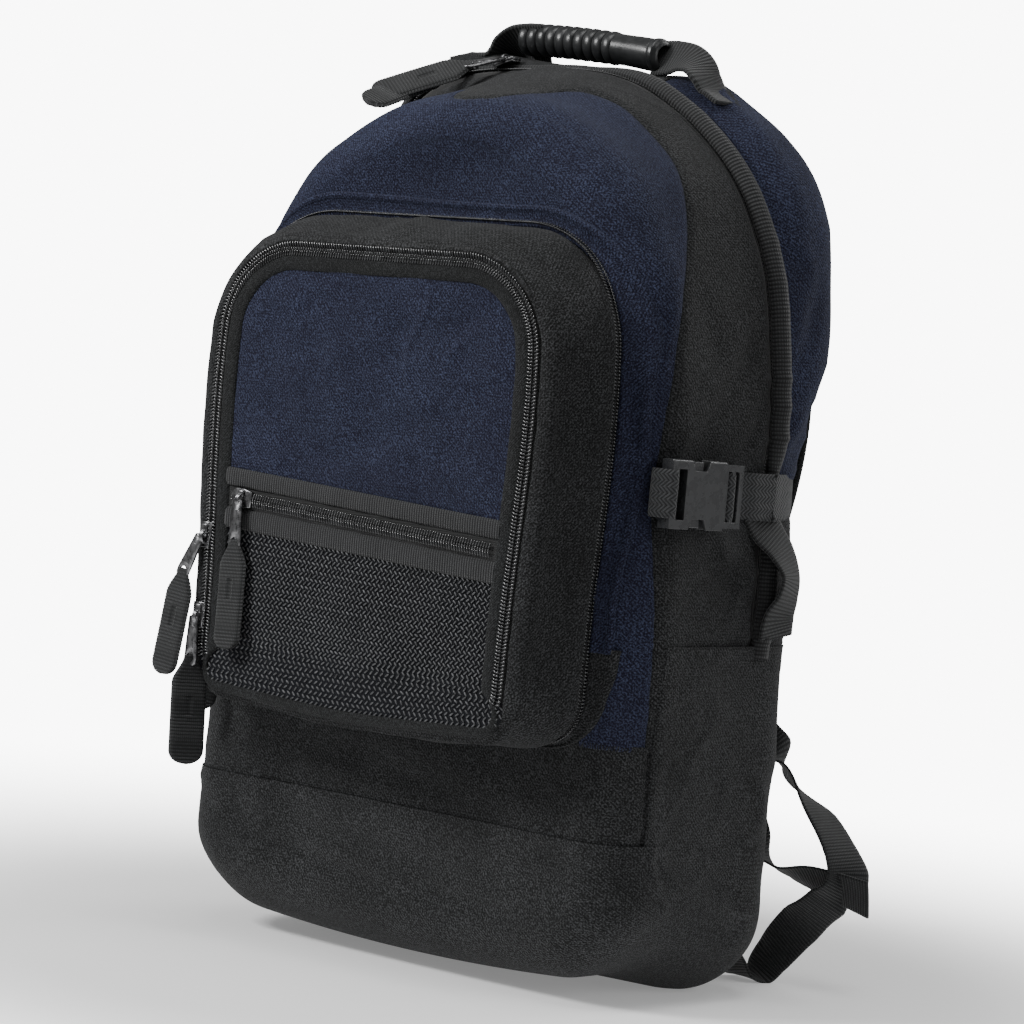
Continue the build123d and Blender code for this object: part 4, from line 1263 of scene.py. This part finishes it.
# ---- Sliders and pulls --------------------------------------------------------------------------------
def plate(outline, low, high, radius):
    """Points and faces of a plate with rounded edges from an outline of (x, y) points."""
    mesh = bmesh.new()
    verts = [mesh.verts.new((x, y, low)) for x, y in outline]
    face = mesh.faces.new(verts)
    top = bmesh.ops.extrude_face_region(mesh, geom=[face])["geom"]
    for vert in top:
        if isinstance(vert, bmesh.types.BMVert):
            vert.co.z = high
    bmesh.ops.recalc_face_normals(mesh, faces=mesh.faces)
    edges = [e for e in mesh.edges if abs(e.verts[0].co.z - e.verts[1].co.z) < 1e-6]
    bmesh.ops.bevel(mesh, geom=edges, offset=radius, segments=3, profile=0.5, affect="EDGES")
    return taken_from(mesh)


def slider_shape(along, across):
    """Body, side flanges, hood and bridge of a zip slider; x is the way its pull hangs."""
    a, b = along / 2, across / 2
    if across > along:
        wing = [(-a, -b * 0.55), (-a, b * 0.2), (-a * 0.8, b), (a * 0.8, b), (a, b * 0.2), (a, -b * 0.55),
                (a * 0.7, -b), (-a * 0.7, -b)]
    else:
        wing = [(-a, -b), (-a, b), (-a * 0.1, b), (a * 0.5, b * 0.72), (a, b * 0.72), (a, -b * 0.72),
                (a * 0.5, -b * 0.72), (-a * 0.1, -b)]
    body = plate(wing[::-1], 1.3, 2.9, 0.5)
    under = plate([(x * 0.94, y * 0.94) for x, y in wing[::-1]], 0.3, 1.4, 0.3)
    hood = rounded_box((-a * 0.86, -2.1, 2.6), (-a * 0.1, 2.1, 4.3), 0.9)
    turn = np.linspace(0.1, math.pi - 0.1, 9)
    arch = np.stack([1.0 - 3.6 * np.cos(turn), 0 * turn, 2.6 + 3.4 * np.sin(turn)], -1)
    bridges = [rod(arch + [0, shift, 0], 0.75, 8) for shift in (-0.8, 0.0, 0.8)]
    return joined([body, under, hood, *bridges])


HOLE_X = 23.8
PULLER_START = 22.6
PULLER_END = 82.0


def tab_shape():
    """Metal tab: a loop at the bridge, a tapered blade with a raised panel, and a round hole for the puller."""
    edge = [(1.2, 3.0), (5.0, 3.0), (14.0, 3.9), (24.0, 4.6), (27.0, 4.1), (28.2, 2.4)]
    blade = np.array([(x, -y) for x, y in edge] + [(28.6, 0.0)] + edge[::-1])
    body = ring_plate(blade, 2.5, np.array([HOLE_X, 0.0]), 4.2, 5.8)
    raised = plate([(6.2, -1.9), (6.2, 1.9), (18.4, 2.9), (18.4, -2.9)][::-1], 5.6, 6.15, 0.2)
    eye = rod(np.array([(1.6, y, 5.0) for y in np.linspace(-2.2, 2.2, 5)]), 1.0, 10)
    return joined([body, raised, eye])


def puller_half(x):
    """Half the width of the webbing puller: narrow at the tab, full in the grip and round at the end."""
    grow = smooth(x, PULLER_START, PULLER_START + 15)
    half = 3.6 + 6.2 * grow
    end = np.clip((PULLER_END - x) / 8.5, 0, 1)
    return half * np.sqrt(np.clip(1 - (1 - end) ** 2.4, 0, 1))


def puller_shape(bend):
    """Two layers of ribbed webbing folded through the tab, with a sewn slot in the middle."""
    x = np.linspace(PULLER_START, PULLER_END, 176)
    w = np.linspace(-1, 1, 19)
    half = puller_half(x)[:, None]
    y = half * w
    ribs = 0.17 * np.cos(2 * math.pi * x / 1.75)[:, None] * (np.abs(w) < 0.93)
    pinch = 0.45 + 0.55 * smooth(x, PULLER_START, PULLER_START + 8)[:, None]
    thick = 1.75 * pinch * (1 - np.abs(w) ** 8) ** 0.5 + ribs
    slot_x = np.abs(x[:, None] - 49.5) / 6.2
    slot_y = np.abs(y) / 1.9
    frame_line = np.exp(-((np.maximum(slot_x, slot_y) - 1.0) / 0.22) ** 2)
    inside = (np.maximum(slot_x, slot_y) < 0.9).astype(float)
    thick = thick + 0.25 * frame_line - 0.75 * inside
    middle = 5.0 + bend * ((x - PULLER_START) / 52)[:, None] ** 2 + 0 * y
    flat = np.broadcast_to(x[:, None], y.shape)
    top = np.stack([flat, y, middle + thick], -1)
    bottom = np.stack([flat, y, middle - thick], -1)
    loop = np.concatenate([top, bottom[:, ::-1]], 1)
    return loop.reshape(-1, 3), tube_faces(*loop.shape[:2], capped=True), loop[..., :2].reshape(-1, 2) * MM


def turned(axes, way, turn):
    """Axes of a hanging piece: its length along way, rolled by turn about that length."""
    length = np.array(way, float) / np.linalg.norm(way)
    side = np.cross(axes[2], length)
    side /= np.linalg.norm(side)
    out = np.cross(length, side)
    cos, sin = math.cos(turn), math.sin(turn)
    return np.stack([length, side * cos + out * sin, out * cos - side * sin])


def zip_set(slider_node, pull_node, hang, out, along, across, shift=(0, 0, 0), pull_hang=None, bend=0.0,
            puller_hang=None, roll=0.0, lift=0.0, tab_roll=0.0):
    """Slider, tab and webbing puller, standing where the CAD slider stands."""
    hang, out = np.array(hang, float), np.array(out, float)
    low, high = limits(slider_node)
    middle = (low + high) / 2
    axes = np.stack([hang, np.cross(out, hang), out])
    corners = np.array([v.co for v in frame["nodes"][slider_node].data.vertices]) / MM
    origin = middle + out * ((corners @ out).min() - 0.3 + lift - middle @ out)
    for way in (axes[1], hang):
        origin = origin + way * (((corners @ way).min() + (corners @ way).max()) / 2 - origin @ way)
    points, faces = slider_shape(along, across)
    body = make_mesh(slider_node + "_metal", placed(points, origin, axes), faces, points[:, :2] * MM, METAL)
    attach(body, slider_node)
    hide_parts(slider_node)
    pull_hang = hang if pull_hang is None else np.array(pull_hang, float)
    pull_axes = turned(axes, pull_hang, tab_roll)
    start = origin + np.array(shift, float)
    points, faces = tab_shape()
    tab = make_mesh(pull_node + "_tab", placed(points, start, pull_axes), faces, points[:, :2] * MM, METAL)
    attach(tab, body_of_node[pull_node])
    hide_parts(pull_node)
    points, faces, uvs = puller_shape(bend)
    hole = np.array([HOLE_X, 0.0, 5.0])
    hinge = placed(hole, start, pull_axes)
    puller_axes = turned(pull_axes, pull_axes[0] if puller_hang is None else puller_hang, roll)
    puller = make_mesh(pull_node + "_webbing", placed(points - hole, hinge, puller_axes), faces, uvs, RIBBED)
    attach(puller, body_of_node[pull_node])


DOWN = (0, 0, -1)
FORWARD = (0, -1, 0)
SPLAY = math.radians(28)
zip_set("mesh_zip_slider", "mesh_zip_pull", (-0.055, 0, -0.9985), FORWARD, 10.5, 14.5, pull_hang=DOWN, bend=1.5,
        puller_hang=(0.05, -0.02, -1))
zip_set("organiser_slider_upper", "organiser_pull_upper", DOWN, FORWARD, 14, 9, (-1, 0, 0),
        (-math.sin(SPLAY), 0, -math.cos(SPLAY)), 1.0, (-0.10, -0.05, -1))
zip_set("organiser_slider_lower", "organiser_pull_lower", DOWN, FORWARD, 14, 9, (-1, 0, 0), bend=1.0,
        puller_hang=(0.06, -0.02, -1), roll=-1.0)
zip_set("pocket_zip_slider", "pocket_zip_pull", DOWN, (-1, 0, 0), 14, 9, (0, -4.5, 0), bend=1.0,
        puller_hang=(0.0, -0.12, -1), roll=0.7)
for side, tab_way, puller_way in (("left", (0.05, -0.93, -0.30), (-0.06, -0.93, -0.34)),
                                  ("right", (-0.35, -0.88, -0.28), (-0.5, -0.78, -0.36))):
    low, high = limits("main_zip_slider_" + side)
    turn = math.atan2((low[2] + high[2]) / 2 - CROWN_Z, (low[0] + high[0]) / 2)
    out = (math.cos(turn), 0, math.sin(turn))
    spot = np.array([CROWN_R * out[0], ZIP_Y, CROWN_Z + CROWN_R * out[2]])
    zip_set("main_zip_slider_" + side, "main_zip_pull_" + side, FORWARD, out, 10.5, 14.5, pull_hang=tab_way,
            bend=-1.0, puller_hang=puller_way, roll=-0.35, lift=crown_rise(spot) * out[2] + 2.0, tab_roll=-0.55)


# ---- Main zip and the crown -------------------------------------------------------------------------------
S_ZIP = distance_at(zip_low[2])
zip_run = np.arange(S_ZIP, ARCH.length - S_ZIP + 1, 2.4)
front_tape = panel("main_zip_tape_front", zip_run, 2.9, 2.985, 4, ZIP_TAPE, -0.9, (0, 0), along_outline, 0.7)
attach(front_tape, "main_flap")
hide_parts("main_zip_front")
rear_tape = panel("main_zip_tape_rear", zip_run, 3.012, 3.12, 4, ZIP_TAPE, -0.9, (0, 0), along_outline, 0.7)
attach(rear_tape, "bag")
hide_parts("main_zip_rear")
line, line_out = on_skin(zip_run, 3.0, -0.2)
front_row, rear_row, head_row = zip_rows("main_zip", line, line_out)
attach(front_row, "main_flap")
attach(rear_row, "bag")
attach(head_row, "main_flap")


def welt(name, run):
    """Ribbed cord sewn behind the main zip: low over the crown and standing proud down the sides."""
    flat = np.array([1.0, 0.8, 1.2, 2.2, 3.6, 5.2, 6.6, 7.8, 8.4])
    over = np.array([-3.6, -3.8, -2.8, -0.8, 1.6, 4.0, 6.0, 7.6, 8.4])
    lift = np.array([-0.6, 1.4, 3.4, 4.9, 5.2, 4.5, 3.1, 1.0, -0.8])
    base, out = on_skin(run, 3.03)
    x = base[:, 0]
    rise = np.where(x > 0, smooth(x, 5, 60), smooth(-x, 75, 120))[:, None]
    rise = rise * (1 - 0.85 * np.exp(-((base[:, 2:] - STRAP_Z + 3) / 24) ** 4))
    grid = base[:, None] + out[:, None] * (lift * (0.3 + 0.7 * rise) + 0.9 * rise)[..., None]
    grid[..., 1] += flat * (1 - rise) + over * rise
    return sheet_piece(name, grid, WELT, 1.0, uvs=along_outline(run, 0, grid))


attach(welt("main_zip_welt", np.arange(S_ZIP - 6, ARCH.length - S_ZIP + 7, 1.6)), "bag")


# ---- Side pockets -------------------------------------------------------------------------------------------
for side, sign in (("right", 1), ("left", -1)):
    around = np.linspace(S_BASE - 3, S_HEM, 62) * sign
    t = np.broadcast_to(np.linspace(1.84, 4.66, 60), (62, 60))
    base, out = bag_surface(np.mod(around, ARCH.length), t)
    base = soften(base, out, t)
    w = np.linspace(0, 1, 60)[None, :]
    level = np.clip((base[..., 2] - BASE_TOP) / (HEM_Z - BASE_TOP), 0, 1)
    hem = smooth(base[..., 2], HEM_Z - 13.2, HEM_Z - 12.2)
    lip = smooth(base[..., 2], HEM_Z - 3, HEM_Z)
    belly = np.sin(w * math.pi) ** 0.55
    lift = 0.3 + belly * (0.8 + 0.7 * level) + belly * (0.5 * hem - 0.6 * lip ** 2)
    lift = lift + belly * (0.4 * wobble(base, 71, 60) + 0.45 * ridges(base, 73, 60, (1, 1, 1.8)))
    cloth = base + out * lift[..., None]
    pocket = sheet_piece("side_pocket_cloth_" + side, cloth, BLACK, 1.4, uvs=along_outline(around, t, cloth))
    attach(pocket, "bag")
    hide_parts("side_pocket_" + side)
    seam = np.argmin(np.abs(base[:, 30, 2] - (HEM_Z - 11)))
    sewn = stitches("side_pocket_stitches_" + side, cloth[seam, 2:-2], out[seam, 2:-2] * 1.0)
    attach(sewn, "bag")


# ---- Webbing ------------------------------------------------------------------------------------------------
def curve(stops, count):
    """A smooth line through a few stops, of any number of values each."""
    p = np.asarray(stops, float)
    p = np.vstack([2 * p[0] - p[1], p, 2 * p[-1] - p[-2]])
    t = np.linspace(0, len(p) - 3 - 1e-9, count)
    i = t.astype(int)
    f = (t - i)[:, None]
    a, b, c, d = p[i], p[i + 1], p[i + 2], p[i + 3]
    return 0.5 * (2 * b + (c - a) * f + (2 * a - 5 * b + 4 * c - d) * f ** 2 + (3 * b - a - 3 * c + d) * f ** 3)


def ribbon(name, stops, material, width=WEBBING, thick=1.4, count=110, wavy=0.2):
    """Webbing along a smooth line; each stop is a point and the direction of the webbing's width."""
    line = curve(stops, count)
    path, across = line[:, :3], line[:, 3:]
    along = unit(np.gradient(path, axis=0))
    across = unit(across - (across * along).sum(1)[:, None] * along)
    out = np.cross(along, across)
    w = np.linspace(-0.5, 0.5, 15)
    grid = path[:, None] + across[:, None] * (w * width)[:, None]
    roll = -0.35 * np.abs(2 * w) ** 8 + wavy * wobble(grid, 61, 26)
    grid = grid + out[:, None] * roll[..., None]
    run = line_run(path)
    uvs = np.stack([run[:, None] + 0 * w, (w + 0.5) * width + 0 * run[:, None]], -1) * MM
    return sheet_piece(name, grid, material, thick, uvs=uvs)


def with_width(points, way):
    """Stops of a ribbon whose width runs one way all along."""
    return [(*point, *way) for point in points]


BUCKLE_TILT = math.radians(8)


def buckle_point(x, z, sign):
    """A point on the buckle's middle plane, x rearwards and z outwards from its front corner."""
    lift = EDGE_R + 0.6
    cos, sin = math.cos(BUCKLE_TILT), math.sin(BUCKLE_TILT)
    px = HALF_W - EDGE_R + lift * cos + x * sin + z * cos
    py = SEAM_Y - lift * sin + x * cos - z * sin
    return sign * px, py, STRAP_Z


for side, sign in (("right", 1), ("left", -1)):
    upright = (0, 0, sign)
    over = [(sign * 148, -60, STRAP_Z), (sign * 151, -66.0, STRAP_Z), (sign * 155.5, -69.0, STRAP_Z),
            buckle_point(-16.0, 7.0, sign), buckle_point(-13, 9.8, sign), buckle_point(-10, 9.4, sign),
            buckle_point(-8.3, 6.5, sign), buckle_point(-8.5, 2.0, sign)]
    front_web = ribbon("buckle_webbing_over_" + side, with_width(over, upright), CHEVRON)
    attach(front_web, "main_flap")
    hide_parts("buckle_webbing_" + side)
    under = [(sign * 148, -59, STRAP_Z), (sign * 150.5, -64.0, STRAP_Z), buckle_point(-15, 1.5, sign),
             buckle_point(-9, 0.2, sign)]
    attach(ribbon("buckle_webbing_under_" + side, with_width(under, upright), CHEVRON), "main_flap")

    rung = [buckle_point(26.2, 1.5, sign), buckle_point(26.9, 6.2, sign), buckle_point(29, 8.0, sign),
            buckle_point(31.5, 8.0, sign), buckle_point(33.3, 6.0, sign), buckle_point(34.2, 1.5, sign)]
    loop = ribbon("buckle_webbing_rung_" + side, with_width(rung, upright), CHEVRON, count=40, wavy=0)
    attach(loop, "buckle_male_" + side)
    skin_line, skin_out = on_skin(np.full(14, distance_at(STRAP_Z) * sign), np.linspace(2.66, 4.9, 14))
    skin_line = skin_line + skin_out * (2.4 + 5.0 * np.exp(-((skin_line[:, 1] - 24) / 13) ** 2))[:, None]
    belt = [buckle_point(33, 0.4, sign), buckle_point(37.5, -0.4, sign), *skin_line]
    rear_web = ribbon("compression_webbing_cloth_" + side, with_width(belt, upright), CHEVRON)
    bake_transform(rear_web)
    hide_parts("compression_webbing_" + side)
    tail = [(157.5, 18, 263, 0, 1, 0.5), (160, 24, 253, 0, 1, 0.3), (166, 31, 242, -0.1, 1, 0.05),
            (171, 35, 229, -0.3, 1, -0.05), (171.5, 33, 217, -0.25, 1, -0.12), (168, 31, 206, -0.05, 1, -0.2),
            (165.5, 33, 195, 0.0, 1, -0.25)]
    tail = [(sign * x, y, z, across_x, sign * across_y, sign * across_z)
            for x, y, z, across_x, across_y, across_z in tail]
    tail_web = ribbon("compression_tail_" + side, tail, RIBBED)
    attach(tail_web, "bag")
    for node in ("buckle_female_", "buckle_male_"):
        copy_rounded(node + side, node + side + "_moulded", PLASTIC, 0.7)
    for place in ("lower", "upper"):
        copy_rounded(f"buckle_prong_{side}_{place}", f"buckle_prong_{side}_{place}_moulded", PLASTIC, 0.6)


# ---- Carry handle -------------------------------------------------------------------------------------------
HANDLE_Y, HANDLE_Z = 44.0, 505.0
GRIP_MIDDLE, GRIP_HALF, GRIP_PITCH = -5.0, 51.0, 6.9


def grip_radius(x):
    """The rubber grip's radius: ten rolls at the left, a plain barrel and a lip at the right end."""
    start = GRIP_MIDDLE - GRIP_HALF
    roll = (x - start) / GRIP_PITCH
    rolls = 7.6 + 2.3 * np.abs(np.sin(math.pi * roll)) ** 0.32
    barrel = 9.1 + 0.5 * smooth(x, 16, 38)
    lip = 9.5 + 1.0 * np.exp(-((x - 42.2) / 2.0) ** 4)
    radius = np.where(roll < 10, rolls, np.where(x < 39, barrel, lip))
    ends = np.clip((GRIP_HALF - np.abs(x - GRIP_MIDDLE)) / 2.5, 0, 1)
    return radius * (0.72 + 0.28 * np.sqrt(1 - (1 - ends) ** 2))


grip_x = np.linspace(GRIP_MIDDLE - GRIP_HALF, GRIP_MIDDLE + GRIP_HALF, 620)
turns = np.arange(48) * 2 * math.pi / 48
radius = grip_radius(grip_x)
lean = (grip_x - GRIP_MIDDLE) / GRIP_HALF
sag = 2.5 - 4.4 * lean - 1.5 * lean ** 2
grip_grid = np.stack([grip_x + 0 * turns[:, None], HANDLE_Y + radius * np.cos(turns)[:, None],
                      HANDLE_Z + sag + 0.95 * radius * np.sin(turns)[:, None]], -1)
grip = sheet_piece("handle_grip_rubber", grip_grid[::-1], RUBBER, 0, wrap=True)
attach(grip, "carry_handle")
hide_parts("handle_grip")
for side, sign in (("right", 1), ("left", -1)):
    foot = on_skin(ARCH.length / 2 - sign * CROWN_R * np.arcsin(np.array([80.0, 90.0]) / CROWN_R), 3.6, 2.2)[0]
    end_z = HANDLE_Z - 3.6 * sign
    reach = [(40, 0, 0.6, 1), (50, 0.6, 0.65, 0.9), (60, 0.8, 0.8, 0.7), (69, -2.5, 0.95, 0.45), (76, -9, 1, 0.2)]
    stops = [(sign * x, HANDLE_Y, end_z + z, 0, sign * across_y, across_z) for x, z, across_y, across_z in reach]
    stops += [(*point, 0, sign, 0) for point in foot]
    leg = ribbon("handle_webbing_" + side, stops, RIBBED, 24, 2.2)
    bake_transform(leg)
    if sign > 0:
        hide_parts("handle_webbing")
    top = ARCH.length / 2
    run = top - sign * CROWN_R * np.arcsin(np.linspace(66, 94, 14) / CROWN_R)
    patch_cloth = panel("handle_anchor_" + side, run, 3.16, 4.2, 16, BLACK_FINE, 1.4, (1.0, 1.0), along_outline, 1.2)
    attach(patch_cloth, "bag")
    if sign > 0:
        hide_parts("handle_anchors")


# ---- Back pads, shoulder straps and yoke ---------------------------------------------------------------------
back_tree = bvh_of(back_skin, gusset)


def back_depth(x, z):
    """Depth y of the bag's back at x and z."""
    hit = back_tree.ray_cast(Vector((x * MM, 0.3, z * MM)), Vector((0, -1, 0)))[0]
    return BACK_Y if hit is None else hit.y / MM


def vertices(obj):
    """A piece's points, in millimetres."""
    places = np.empty(len(obj.data.vertices) * 3)
    obj.data.vertices.foreach_get("co", places)
    return places.reshape(-1, 3) / MM


def move_to(obj, points):
    """Puts a piece's points at new places, in millimetres."""
    obj.data.vertices.foreach_set("co", (np.asarray(points) * MM).ravel())
    obj.data.update()


def remeshed(name, points, faces, material, voxel):
    """A closed solid with an even mesh, ready to be shaped and swelled."""
    obj = make_mesh(name, points, faces, None, material)
    modify(obj, ("REMESH", {"mode": "VOXEL", "voxel_size": voxel * MM, "use_smooth_shade": True}))
    return obj


def swelled(obj, cap):
    """Lets cloth simulation swell a pad, by cap millimetres at the most, and smooths it."""
    before = vertices(obj)
    cloth = obj.modifiers.new("Cloth", "CLOTH")
    cloth.settings.use_pressure = True
    cloth.settings.uniform_pressure_force = 4.0
    cloth.settings.effector_weights.gravity = 0.0
    scene = bpy.context.scene
    for step in range(1, 21):
        scene.frame_set(step)
    graph = bpy.context.evaluated_depsgraph_get()
    after = np.array([v.co for v in obj.evaluated_get(graph).data.vertices]) / MM
    obj.modifiers.remove(cloth)
    scene.frame_set(1)
    move = after - before
    size = np.linalg.norm(move, axis=1)[:, None]
    move_to(obj, before + move * np.minimum(1, cap / np.maximum(size, 1e-6)))
    modify(obj, ("SMOOTH", {"factor": 0.5, "iterations": 3}), ("SUBSURF", {"levels": 1}))
    obj.data.polygons.foreach_set("use_smooth", [True] * len(obj.data.polygons))
    return obj


PAD_SKIN = twill("pad_spacer_mesh", (0.006, 0.006, 0.0065), (0.05, 0.051, 0.053), 0.0026, solid=True, sheen=0.1,
                 tint=(1, 1, 1))


def back_pad(name, middle, size, corner):
    """A stuffed pad on the back panel, with a bound edge."""
    outline = box_outline(size[0] / 2, 0.0, size[1], corner, corner)
    flat = outline.at(np.linspace(0, outline.length, 120, endpoint=False))[0]
    points, faces = plate(flat, 0.0, 10.0, 1.5)
    points = np.stack([points[:, 0] + middle[0], points[:, 2], points[:, 1] + middle[1] - size[1] / 2], -1)
    obj = remeshed(name, points, faces, PAD_SKIN, 3.4)
    places = vertices(obj)
    ground = np.array([back_depth(p[0], p[2]) for p in places])
    share = np.clip(places[:, 1] / 10.0, 0, 1)
    places[:, 1] = ground - 1.5 + share * (BACK_Y + 4.2 - ground + 1.5)
    move_to(obj, places)
    swelled(obj, 6.0)
    places = vertices(obj)
    for step in (-0.25, 0.25):
        groove = np.exp(-((places[:, 2] - middle[1] - step * size[1]) / 2.6) ** 2) * (size[1] > 100)
        places[:, 1] -= 2.6 * groove * (places[:, 1] > BACK_Y)
    move_to(obj, places)
    edge = np.stack([flat[:, 0] + middle[0], 0 * flat[:, 0], flat[:, 1] + middle[1] - size[1] / 2], -1)
    edge[:, 1] = [back_depth(p[0], p[2]) + 1.6 for p in edge]
    points, faces = rod(np.vstack([edge, edge[:2]]), 1.9, 10)
    trim = make_mesh(name + "_binding", points, faces, points[:, [0, 2]] * MM, BLACK_FINE)
    for piece in (obj, trim):
        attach(piece, "bag")
    return obj


pads = [back_pad("back_pad_right", (62, 240), (84, 250), 22), back_pad("back_pad_left", (-62, 240), (84, 250), 22),
        back_pad("back_pad_lumbar", (0, 74), (208, 56), 22)]
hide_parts("back_pads")

STRAP_ARC = (-163.0, 304.0, 281.0)
STRAP_TOP, STRAP_LOW = math.radians(28.5), math.radians(-22)
STRAP_LENGTH = STRAP_ARC[2] * (STRAP_TOP - STRAP_LOW)


def strap_middle(a):
    """Distance of the shoulder strap's middle from the bag's middle."""
    return 72 + 8 * np.sin(np.clip(a / STRAP_LENGTH, 0, 1) * math.pi * 0.75)


def strap_half(a):
    """Half the shoulder strap's width."""
    return 30 - 9.5 * smooth(a, STRAP_LENGTH * 0.45, STRAP_LENGTH)


def strap_point(a, b, c, sign):
    """A point of the strap: a down its length, b across it and c out from its middle layer."""
    turn = STRAP_TOP - a / STRAP_ARC[2]
    reach = STRAP_ARC[2] + c
    return np.stack([sign * (strap_middle(a) + b), STRAP_ARC[0] + reach * np.cos(turn),
                     STRAP_ARC[1] + reach * np.sin(turn)], -1)


for side, sign in (("right", 1), ("left", -1)):
    body = "strap_" + side
    a = np.linspace(0, STRAP_LENGTH, 60)
    rim = np.vstack([np.stack([a, strap_half(a)], -1), np.stack([a, -strap_half(a)], -1)[::-1]])
    points, faces = plate(rim[::-1], -4.2, 4.2, 1.5)
    pad = remeshed("shoulder_pad_" + side, points, faces, PAD_SKIN, 3.4)
    places = vertices(pad)
    move_to(pad, strap_point(places[:, 0], places[:, 1], places[:, 2], sign))
    if sign > 0:
        pad.data.flip_normals()
    swelled(pad, 5.0)
    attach(pad, body)
    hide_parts("shoulder_strap_" + side)
    for edge in (-1, 1):
        a = np.linspace(2, STRAP_LENGTH - 1, 90)
        points, faces = rod(strap_point(a, edge * strap_half(a), 0 * a, sign), 2.3, 10)
        trim = make_mesh(f"shoulder_binding_{side}_{'outer' if edge > 0 else 'inner'}", points, faces,
                         points[:, [1, 2]] * MM, BLACK_FINE)
        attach(trim, body)
    a = np.linspace(6, STRAP_LENGTH + 8, 24)
    lift = 8.6 - 6.5 * smooth(a, STRAP_LENGTH - 16, STRAP_LENGTH + 6)
    line = strap_point(a, 0 * a, lift, sign)
    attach(ribbon("shoulder_webbing_" + side, with_width(line, (-1, 0, 0)), RIBBED), body)
    copy_rounded("ladder_lock_" + side, f"ladder_lock_{side}_moulded", PLASTIC, 0.5)
    lower = [(78, 88, 180, 1, 0, 0), (84, 97, 160, 1, 0.1, 0), (101, 109, 136, 0.9, 0.2, -0.3),
             (122, 115, 114, 0.45, 0.4, -0.75), (146, 117, 94, 0.2, 0.95, -0.2), (163, 116, 74, 0.2, 0.95, 0.1),
             (168, 114, 61, 0.5, 0.8, 0.3), (157, 112, 48, 0.8, 0.3, 0.5), (138, 111, 31, 0.85, 0.1, 0.5),
             (124, 110, 14, 0.98, 0, 0.15), (118, 106, 3.5, 1, -0.1, 0), (114, 97, 3, 1, -0.2, 0),
             (110, 88, 14, 1, 0, 0), (107, 74, 30, 1, 0, 0)]
    stops = [(sign * x, y, z, w[0], sign * w[1], sign * w[2]) for x, y, z, *w in lower]
    web = ribbon("lower_strap_webbing_cloth_" + side, stops, RIBBED, count=260, thick=1.2, wavy=0.35)
    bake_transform(web)
    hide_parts("lower_strap_webbing_" + side)
    loose = [(90, 98, 150, 1, 0, 0), (92, 108, 110, 1, 0, -0.2), (104, 113, 72, 0.6, 0.6, -0.5),
             (124, 115, 61, 0.15, 0.9, -0.4), (150, 116, 59, 0.1, 0.6, -0.75), (184, 113, 54.5, -0.3, 0.3, -0.85)]
    stops = [(sign * x, y, z, w[0], sign * w[1], sign * w[2]) for x, y, z, *w in loose]
    end = ribbon("lower_strap_end_" + side, stops, RIBBED, 22, 1.2, wavy=0.3)
    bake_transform(end)

rows, columns = 22, 60
level = np.linspace(0, 1, rows)
half = 98 - 24 * level
yoke_x = half[:, None] * np.linspace(-1, 1, columns)
yoke_z = 417 + 46 * level[:, None] + 0 * yoke_x
yoke_y = np.array([[back_depth(x, z) for x, z in zip(*pair)] for pair in zip(yoke_x, yoke_z)]) + 1.8
edge = np.maximum(np.abs(np.linspace(-1, 1, columns))[None, :], np.abs(2 * level - 1)[:, None])
yoke_grid = np.stack([yoke_x, yoke_y - 1.4 * edge ** 14, yoke_z], -1)
yoke = sheet_piece("strap_yoke_cloth", yoke_grid[:, ::-1], BLACK, 1.2)
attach(yoke, "bag")
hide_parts("strap_yoke")


# ---- Plain parts and slots ------------------------------------------------------------------------------------
frame["nodes"]["laptop_divider"].material_slots[0].material = LINING
